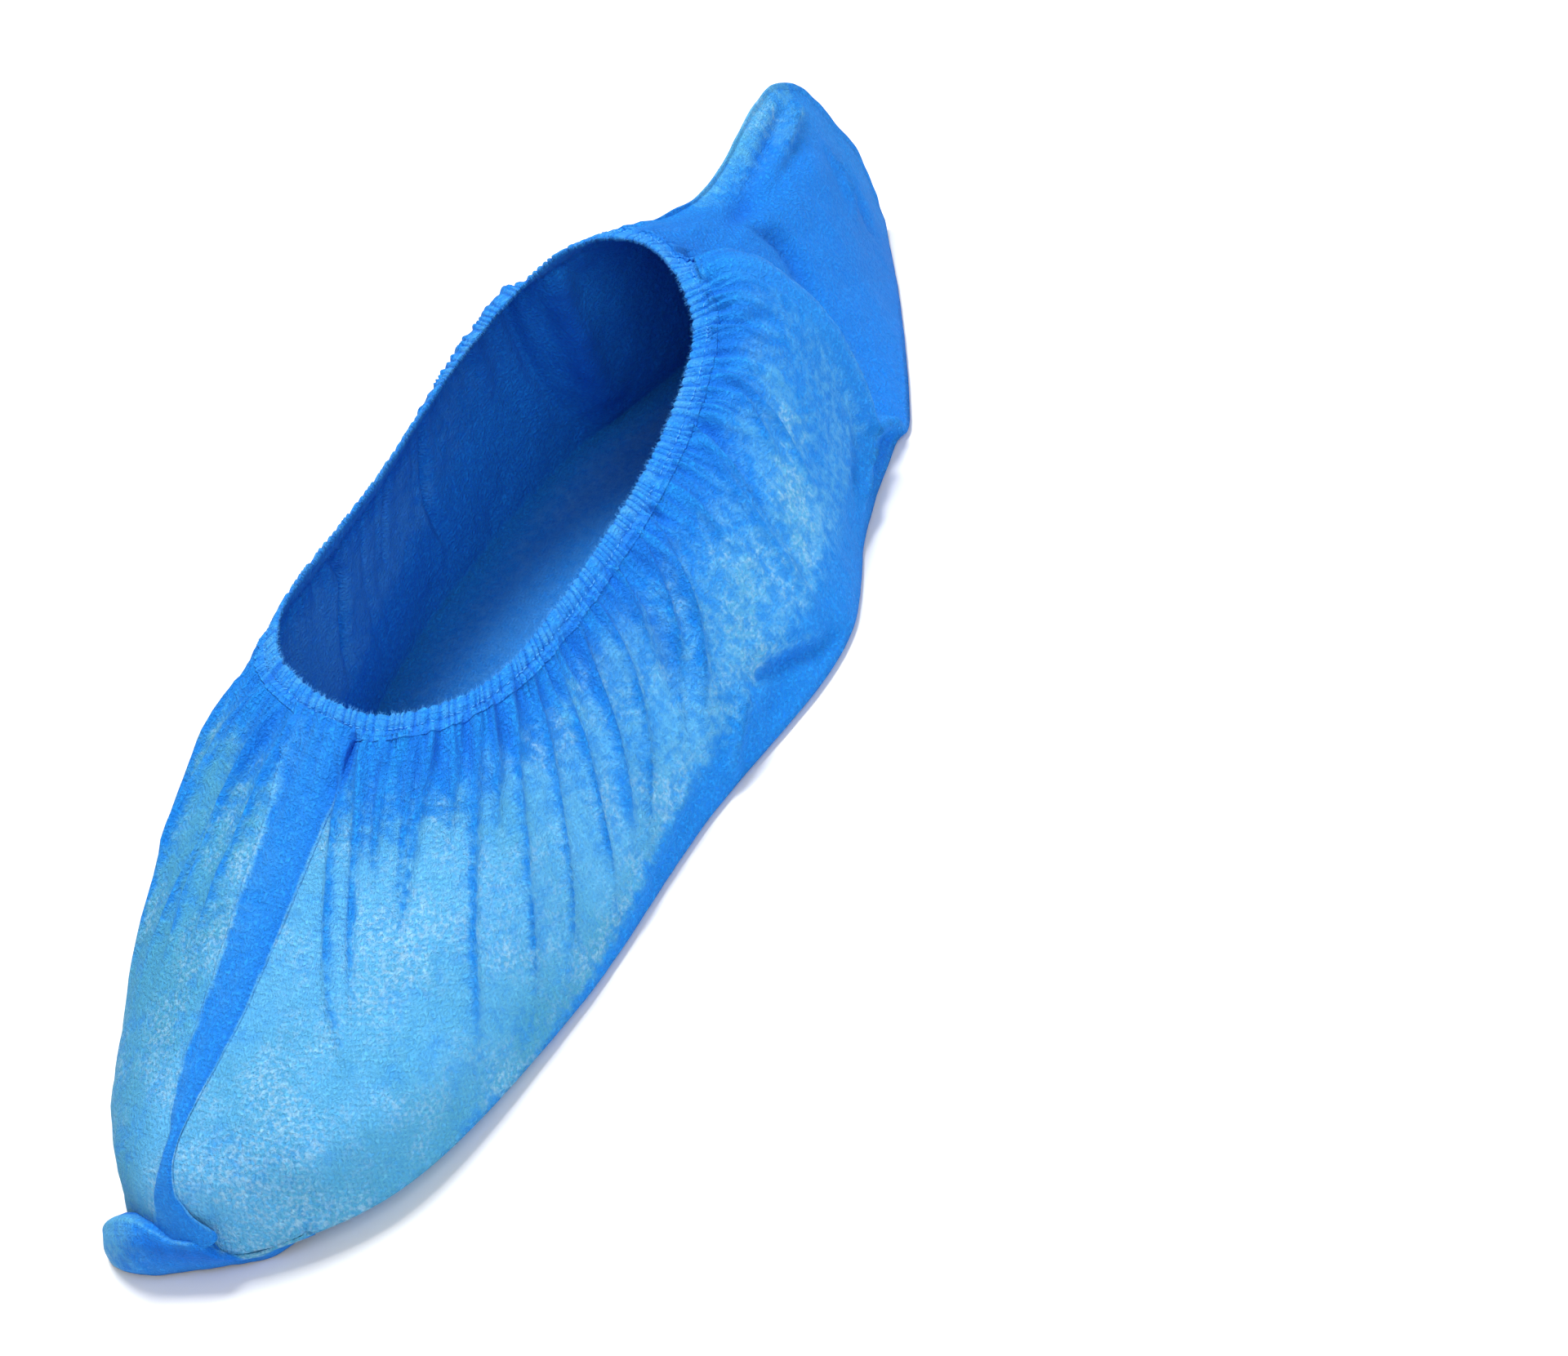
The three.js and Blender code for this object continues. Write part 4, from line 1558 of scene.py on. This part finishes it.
    def _flat_places(self, faces: list[tuple[int, ...]], count: int) -> Array:
        """Places on the flat cloth of each corner: the casing is gathered to about half its length.

        Args:
            faces: Points of each face.
            count: Points in a row.

        Returns:
            Pairs of numbers, in metres.
        """
        step = self.gathering * self.wall.pucker_pitch / self.columns_per_pucker
        corners = [(step * column, self.flat_row * row) for row, column, _ in ring_corners(faces, count)]
        return np.array(corners) * MM


@dataclass
class ToeSeam:
    """Doubled strip of the front seam, lying on the vamp.

    The rows give its left and right edges, in parts of a meridian's span, at parts of the way down.
    """

    wall: DrapedWall
    edges: tuple[tuple[float, float, float], ...] = (
        (0.03, -0.60, 0.50),
        (0.14, -0.42, 0.42),
        (0.22, -0.36, 0.32),
        (0.38, -0.30, 0.18),
        (0.51, -0.27, 0.11),
        (0.61, -0.21, 0.06),
        (0.66, -0.15, 0.04),
        (0.70, -0.05, 0.035),
        (0.75, -0.055, 0.05),
        (0.82, -0.09, 0.09),
        (0.87, -0.10, 0.18),
        (0.90, -0.11, 0.27),
        (0.92, -0.11, 0.30),
        (0.936, -0.10, 0.275),
        (0.95, -0.08, 0.20),
        (0.96, -0.05, 0.12),
        (0.966, -0.02, 0.06),
    )
    lift: float = 0.18
    crown: float = 0.75
    thickness: float = 0.4
    flat_width: float = 20.0
    flat_row: float = 0.9
    columns: int = 34
    rows: int = 190

    def build(self, material: bpy.types.Material) -> bpy.types.Object:
        """Makes the strip and dresses it.

        Args:
            material: Finish of the piece.

        Returns:
            The piece, which rides on the cover.
        """
        table = np.array(self.edges)
        down = np.linspace(table[0, 0], table[-1, 0], self.rows)[:, None]
        left, right = (np.interp(down, table[:, 0], table[:, axis]) for axis in (1, 2))
        for edge in (left, right):
            relax(edge, 4)
        part = np.linspace(0, 1, self.columns)[None, :]
        around = left + (right - left) * part
        relief = self.wall.relief(around, np.broadcast_to(down, around.shape))
        tip = ease(0.82, 0.95, down)
        curl = tip * (0.8 + 1.9 * part)
        middle = np.sin(math.pi * part) ** 0.7 * (0.75 + 0.25 * np.cos(9 * part + 14 * down))
        rise = self.lift + self.crown * middle * (1 - 0.6 * tip) + curl
        points = relief["point"] + relief["outward"] * rise[..., None]
        doubled = ease(0.0, 0.16, part) * ease(1.0, 0.92, part)
        doubled = np.maximum(doubled, tip) * ease(0.02, 0.06, down)
        touch = relief["touch"] * (1 - doubled) + (0.2 - 0.14 * part) * doubled
        # painted shade along the right edge of the strip and in its curled tip
        edge_shade = 0.35 * np.exp(-(((part - 0.9) / 0.1) ** 2)) * ease(0.12, 0.2, down) * (1 - tip)
        crease = relief["crease"] * 0.6 + edge_shade + 0.45 * tip * np.exp(-(((part - 0.45) / 0.3) ** 2))
        values = {"touch": touch, "crease": np.clip(crease, 0, 1)}
        pitch = (self.flat_width / (self.columns - 1), self.flat_row)
        piece = patch("front_seam", points, values, pitch).build(material)
        thicken(piece, self.thickness)
        return settle(piece, "doubled_cloth", "toe_seam")


@dataclass
class ToeCorner:
    """Loose front corner of the bag, curled up in front of the toe.

    Each section runs from the floor up the face and over the rim to the inner side.
    """

    wall: DrapedWall
    sections: tuple[tuple[tuple[float, float, float], ...], ...] = (
        (
            (26, -130, 4), (26, -130.5, 4.3), (26, -130.5, 4.6),
            (25.5, -130.5, 5), (25, -130, 5.2), (25, -128, 5),
        ),
        (
            (15, -136, -1), (16, -137, 1), (16, -138, 2.5),
            (15.5, -138.5, 3.5), (15, -138.5, 4), (15.5, -136, 3),
        ),
        (
            (9, -139, -1), (10, -140, 1.3), (11, -142, 4.4),
            (9.5, -142, 5.8), (8, -142, 6.2), (8.5, -139.5, 4.8),
        ),
        (
            (4.5, -140.5, -1), (7, -142.5, 2.8), (8.5, -145, 7.8),
            (7, -144.7, 10), (6, -144, 10.8), (6.5, -141.5, 9.8),
        ),
        (
            (-1, -142.5, -1), (2, -144.5, 3), (4, -146, 8.5),
            (3.5, -146, 11.5), (2.5, -145.5, 12.5), (2.5, -142.5, 11),
        ),
        (
            (-6, -144, -1), (-3, -146, 3.5), (-1, -147, 9),
            (-1.5, -146.5, 12), (-2, -145.5, 12.5), (-2, -142.5, 11.5),
        ),
        (
            (-12, -146, -1), (-8.5, -148, 4), (-5.5, -148, 10.5),
            (-6, -146.5, 13.5), (-6.5, -145, 14.5), (-6.5, -142, 13),
        ),
        (
            (-17.5, -147, -1), (-14, -149, 4.5), (-10.5, -148.5, 11.5),
            (-10.5, -146, 14.5), (-11.5, -144, 15), (-11.5, -141, 13),
        ),
        (
            (-22.5, -147, -1), (-19, -149, 4), (-15.5, -148, 11),
            (-15.5, -145.5, 14), (-16.5, -143, 14.5), (-16.5, -140, 12.5),
        ),
        (
            (-27, -146, -1), (-24.5, -147, 3), (-21.5, -147, 8.5),
            (-21.5, -144.5, 11.5), (-22.5, -142.5, 12), (-22, -139, 10),
        ),
        (
            (-30.5, -144, -1), (-29, -144.5, 2), (-26.5, -145, 6),
            (-26.5, -143.5, 8), (-27, -142, 8.5), (-26, -139, 7),
        ),
        (
            (-32, -142, -1), (-31.5, -142.5, 0.5), (-30, -143, 2.5),
            (-30, -142.5, 3.5), (-30, -141.5, 4), (-29, -139, 2.5),
        ),
    )
    thickness: float = 0.3
    flat_pitch: tuple[float, float] = (0.6, 0.5)
    crumple: float = 0.3
    crumple_size: float = 4.5
    clearance: float = 0.3
    buried: float = 0.38
    off_floor: Place = (2.5, 4.5)
    fineness: int = 9

    def __post_init__(self) -> None:
        """Takes points of the bag's wall in front, which the sheet stays clear of."""
        around = np.linspace(-1.8, 1.6, 140)[:, None] + np.zeros(50)
        relief = self.wall.relief(around, np.linspace(0.75, 1, 50) + np.zeros(around.shape))
        self._wall_points = relief["point"].reshape(-1, 3)
        self._wall_outward = relief["outward"].reshape(-1, 3)

    def _refine(self, rows: Array) -> Array:
        """Rows of points with smooth curves through them.

        Args:
            rows: Points, with the curves along the first axis.

        Returns:
            More rows, with the given ones among them.
        """
        padded = np.concatenate([2 * rows[:1] - rows[1:2], rows, 2 * rows[-1:] - rows[-2:-1]])
        parts = np.arange(self.fineness)[:, None, None] / self.fineness
        spans = [through(*padded[index : index + 4], parts) for index in range(len(rows) - 1)]
        return np.concatenate([*spans, rows[-1:]])

    def _outside(self, points: Array, side: Array) -> Array:
        """Moves points out of the bag's wall, in which only the sheet's end stays.

        Args:
            points: One row of points.
            side: How far along the sheet each point is, from 0 to 1.

        Returns:
            The moved points.
        """
        gap = self._wall_points - points[:, None]
        nearest = np.argmin((gap**2).sum(-1), axis=-1)
        outward = self._wall_outward[nearest]
        height = -(gap[np.arange(len(points)), nearest] * outward).sum(-1)
        clearance = self.clearance - self.buried * (1 - ease(0.04, 0.22, side))
        push = np.maximum(clearance - height, 0) * ease(*self.off_floor, points[:, 2])
        return points + outward * push[:, None]

    def build(self, material: bpy.types.Material) -> bpy.types.Object:
        """Makes the curled sheet and dresses it.

        Args:
            material: Finish of the piece.

        Returns:
            The piece, which rides on the cover.
        """
        along = self._refine(np.array(self.sections, float))
        surface = self._refine(along.swapaxes(0, 1))
        rows, columns = surface.shape[:2]
        side = np.linspace(0, 1, columns)
        surface = np.array([self._outside(row, side) for row in surface])
        crumple = self.crumple * rough(surface, self.crumple_size)
        surface = surface + crumple[..., None] * np.array([0.3, -0.9, 0.3])
        up = np.linspace(0, 1, rows)[:, None]
        side = side[None, :]
        # painted shade in the hollow and on the inner side behind the rim
        hollow_shade = np.exp(-(((up - 0.42 - 0.1 * side) / 0.17) ** 2)) * (1 - ease(0.5, 0.8, side))
        hollow_shade = hollow_shade * ease(0.06, 0.2, side)
        shade_behind_rim = ease(0.86, 1.0, up)
        # painted highlight along the rim, and painted light on the lobe, which faces away from the lamps
        rim = np.exp(-(((up - 0.76) / 0.05) ** 2))
        merging = (1 - ease(0.1, 0.32, side)) * ease(0.25, 0.6, up)
        lobe_light = 0.75 * ease(0.55, 0.9, side) * (1 - shade_behind_rim)
        values = {
            "touch": np.clip(0.15 + lobe_light + 0.35 * rim + 0.8 * merging, 0, 1),
            "crease": np.clip(1.1 * hollow_shade + 0.8 * shade_behind_rim, 0, 1) * (1 - merging),
            "shade": 0.8 * merging,
        }
        piece = patch("toe_curl", surface, values, self.flat_pitch, flipped=True).build(material)
        thicken(piece, self.thickness)
        return settle(piece, "doubled_cloth", "toe_corner")


@dataclass
class HeelSeam:
    """Joined edge that stands a little off the crest of the tail."""

    wall: DrapedWall
    width: float = 1.9
    sunk: float = 0.9
    ripple: float = 0.12
    thickness: float = 0.6
    flat_pitch: tuple[float, float] = (0.6, 1.4)
    start: float = 0.09
    end: float = 0.97
    rows: int = 170
    columns: int = 7

    def build(self, material: bpy.types.Material) -> bpy.types.Object:
        """Makes the joined edge and dresses it.

        Args:
            material: Finish of the piece.

        Returns:
            The piece, which rides on the cover.
        """
        tail = float(self.wall.shape.tail)
        down = np.linspace(self.start, self.end, self.rows)
        crest = self.wall.relief(np.full(self.rows, tail), down)["point"]
        relax(crest, 4)
        run = np.gradient(crest, axis=0) * np.array([0.0, 1.0, 1.0])
        out = unit(np.stack([np.zeros(self.rows), -run[:, 2], run[:, 1]], -1))
        ends = ease(0.0, 0.08, down - self.start) * ease(0.0, 0.05, self.end - down)
        points = []
        for part in np.linspace(0, 1, self.columns):
            width = self.width * (0.35 + 0.65 * ends) + self.ripple * np.sin(down * 50)
            reach = -self.sunk + width * part
            points.append(crest + out * reach[:, None])
        grid = np.array(points).swapaxes(0, 1)
        # painted light through the crest, the same as on the tail
        pale = self.wall.pale_crest(np.full(self.rows, tail), down)
        values = {
            "touch": np.repeat(0.12 + pale, self.columns),
            "crease": np.zeros(self.rows * self.columns),
        }
        piece = patch("back_seam", grid, values, self.flat_pitch).build(material)
        thicken(piece, self.thickness, 0.0)
        return settle(piece, "doubled_cloth", "heel_seam")


# ---- surroundings -----------------------------------------------------------------------------------


@dataclass(frozen=True)
class Lamp:
    """Square soft light: its place and the length of its side in metres, its power in watts."""

    name: str
    place: tuple[float, float, float]
    size: float
    power: float


@dataclass
class Studio:
    """Pale floor, soft light and the camera.

    The camera's place, target, lens and sensor are in millimetres, the floor and the lamps in metres.
    """

    camera_at: tuple[float, float, float] = (520.7, -459.6, 512.2)
    target: tuple[float, float, float] = (59.4, 54.4, 1.0)
    roll: float = math.radians(-25.5)
    lens: float = 78.1
    sensor: float = 36.0
    floor_level: float = -0.0019
    floor_reach: float = 6.0
    floor_white: float = 0.93
    sky_strength: float = 0.40
    lit: tuple[float, float, float] = (0.0, 0.05, 0.03)
    lamps: tuple[Lamp, ...] = (
        Lamp("key_light", (-0.1, 0.35, 1.45), 0.6, 23),
        Lamp("fill_light", (1.1, -0.6, 0.9), 1.2, 11.5),
    )

    def floor(self) -> bpy.types.Object:
        """Plain pale floor.

        Returns:
            The floor.
        """
        mesh = bpy.data.meshes.new("floor")
        signs = ((-1, -1), (1, -1), (1, 1), (-1, 1))
        reach, white = self.floor_reach, self.floor_white
        corners = [(side * reach, depth * reach, self.floor_level) for side, depth in signs]
        mesh.from_pydata(corners, [], [(0, 1, 2, 3)])
        made = linked("floor", mesh)
        paint = bpy.data.materials.new("pale_floor")
        paint.use_nodes = True
        surface = paint.node_tree.nodes["Principled BSDF"]
        surface.inputs["Base Color"].default_value = (white, white, white, 1)
        surface.inputs["Roughness"].default_value = 0.9
        surface.inputs["Specular IOR Level"].default_value = 0.1
        mesh.materials.append(paint)
        return made

    def camera(self) -> bpy.types.Object:
        """Camera, turned about its own axis by the roll.

        Returns:
            The camera.
        """
        data = bpy.data.cameras.new("camera")
        data.lens = self.lens
        data.sensor_width = self.sensor
        made = linked("camera", data)
        place = Vector(self.camera_at) * MM
        back = (place - Vector(self.target) * MM).normalized()
        aim(made, place, -back, self.roll)
        bpy.context.scene.camera = made
        return made

    def light(self, lamp: Lamp) -> None:
        """Hangs a lamp so that it faces the middle of the cover.

        Args:
            lamp: The lamp.
        """
        data = bpy.data.lights.new(lamp.name, "AREA")
        data.shape = "SQUARE"
        data.size = lamp.size
        data.energy = lamp.power
        place = Vector(lamp.place)
        aim(linked(lamp.name, data), place, Vector(self.lit) - place)

    def world(self) -> None:
        """Even white surroundings."""
        world = bpy.data.worlds.new("surroundings")
        world.use_nodes = True
        sky = world.node_tree.nodes["Background"]
        sky.inputs["Color"].default_value = (1, 1, 1, 1)
        sky.inputs["Strength"].default_value = self.sky_strength
        bpy.context.scene.world = world


def finishes() -> dict[str, bpy.types.Material]:
    """Materials of the cover.

    Returns:
        Each of them by its name, all made of the same two groups.
    """
    web, colouring = fibre_web(), cloth_colour()
    looks = (
        ClothFinish("spunbond_cloth"),
        ClothFinish("inner_side", close="3E97EA", teal_and_shade="3A90E4", frost="4CA2EE"),
        ClothFinish("gathered_cloth", free="2C9AF2", relief=0.35),
        ClothFinish("doubled_cloth", free="1C8EF0", relief=0.4),
        ClothFinish("thread", deep="3A98F0", free="5AAEF6", relief=0.02),
    )
    return {look.name: look.build(web, colouring) for look in looks}


def main() -> None:
    """Builds the cover, piece by piece, and the studio around it."""
    logging.basicConfig(level=logging.INFO, format="%(name)s: %(message)s")
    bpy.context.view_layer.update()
    studio = Studio()
    studio.camera()
    cloth = finishes()
    doubled, thread = cloth["doubled_cloth"], cloth["thread"]

    wall = DrapedWall(CoverShape())
    body = CoverBody(wall).build(cloth["spunbond_cloth"], cloth["inner_side"])
    hem = ElasticHem(wall)
    stitches = Trimming("hem_stitches", Grain.STITCH, length=1.1, width=0.3, lean=0.5)
    fibres = Trimming("hem_fibres", Grain.FIBRE, length=0.9, width=0.09, lean=0.6)
    others = [
        hem.build(cloth["gathered_cloth"]),
        ToeSeam(wall).build(doubled),
        ToeCorner(wall).build(doubled),
        HeelSeam(wall).build(cloth["spunbond_cloth"]),
        stitches.build(hem.stitch_places(), thread, "hem"),
        fibres.build(hem.fringe_places(), thread, "hem"),
    ]
    floor = studio.floor()

    studio.world()
    for lamp in studio.lamps:
        studio.light(lamp)
    bpy.context.scene.view_settings.view_transform = "Standard"


if __name__ == "__main__":
    main()
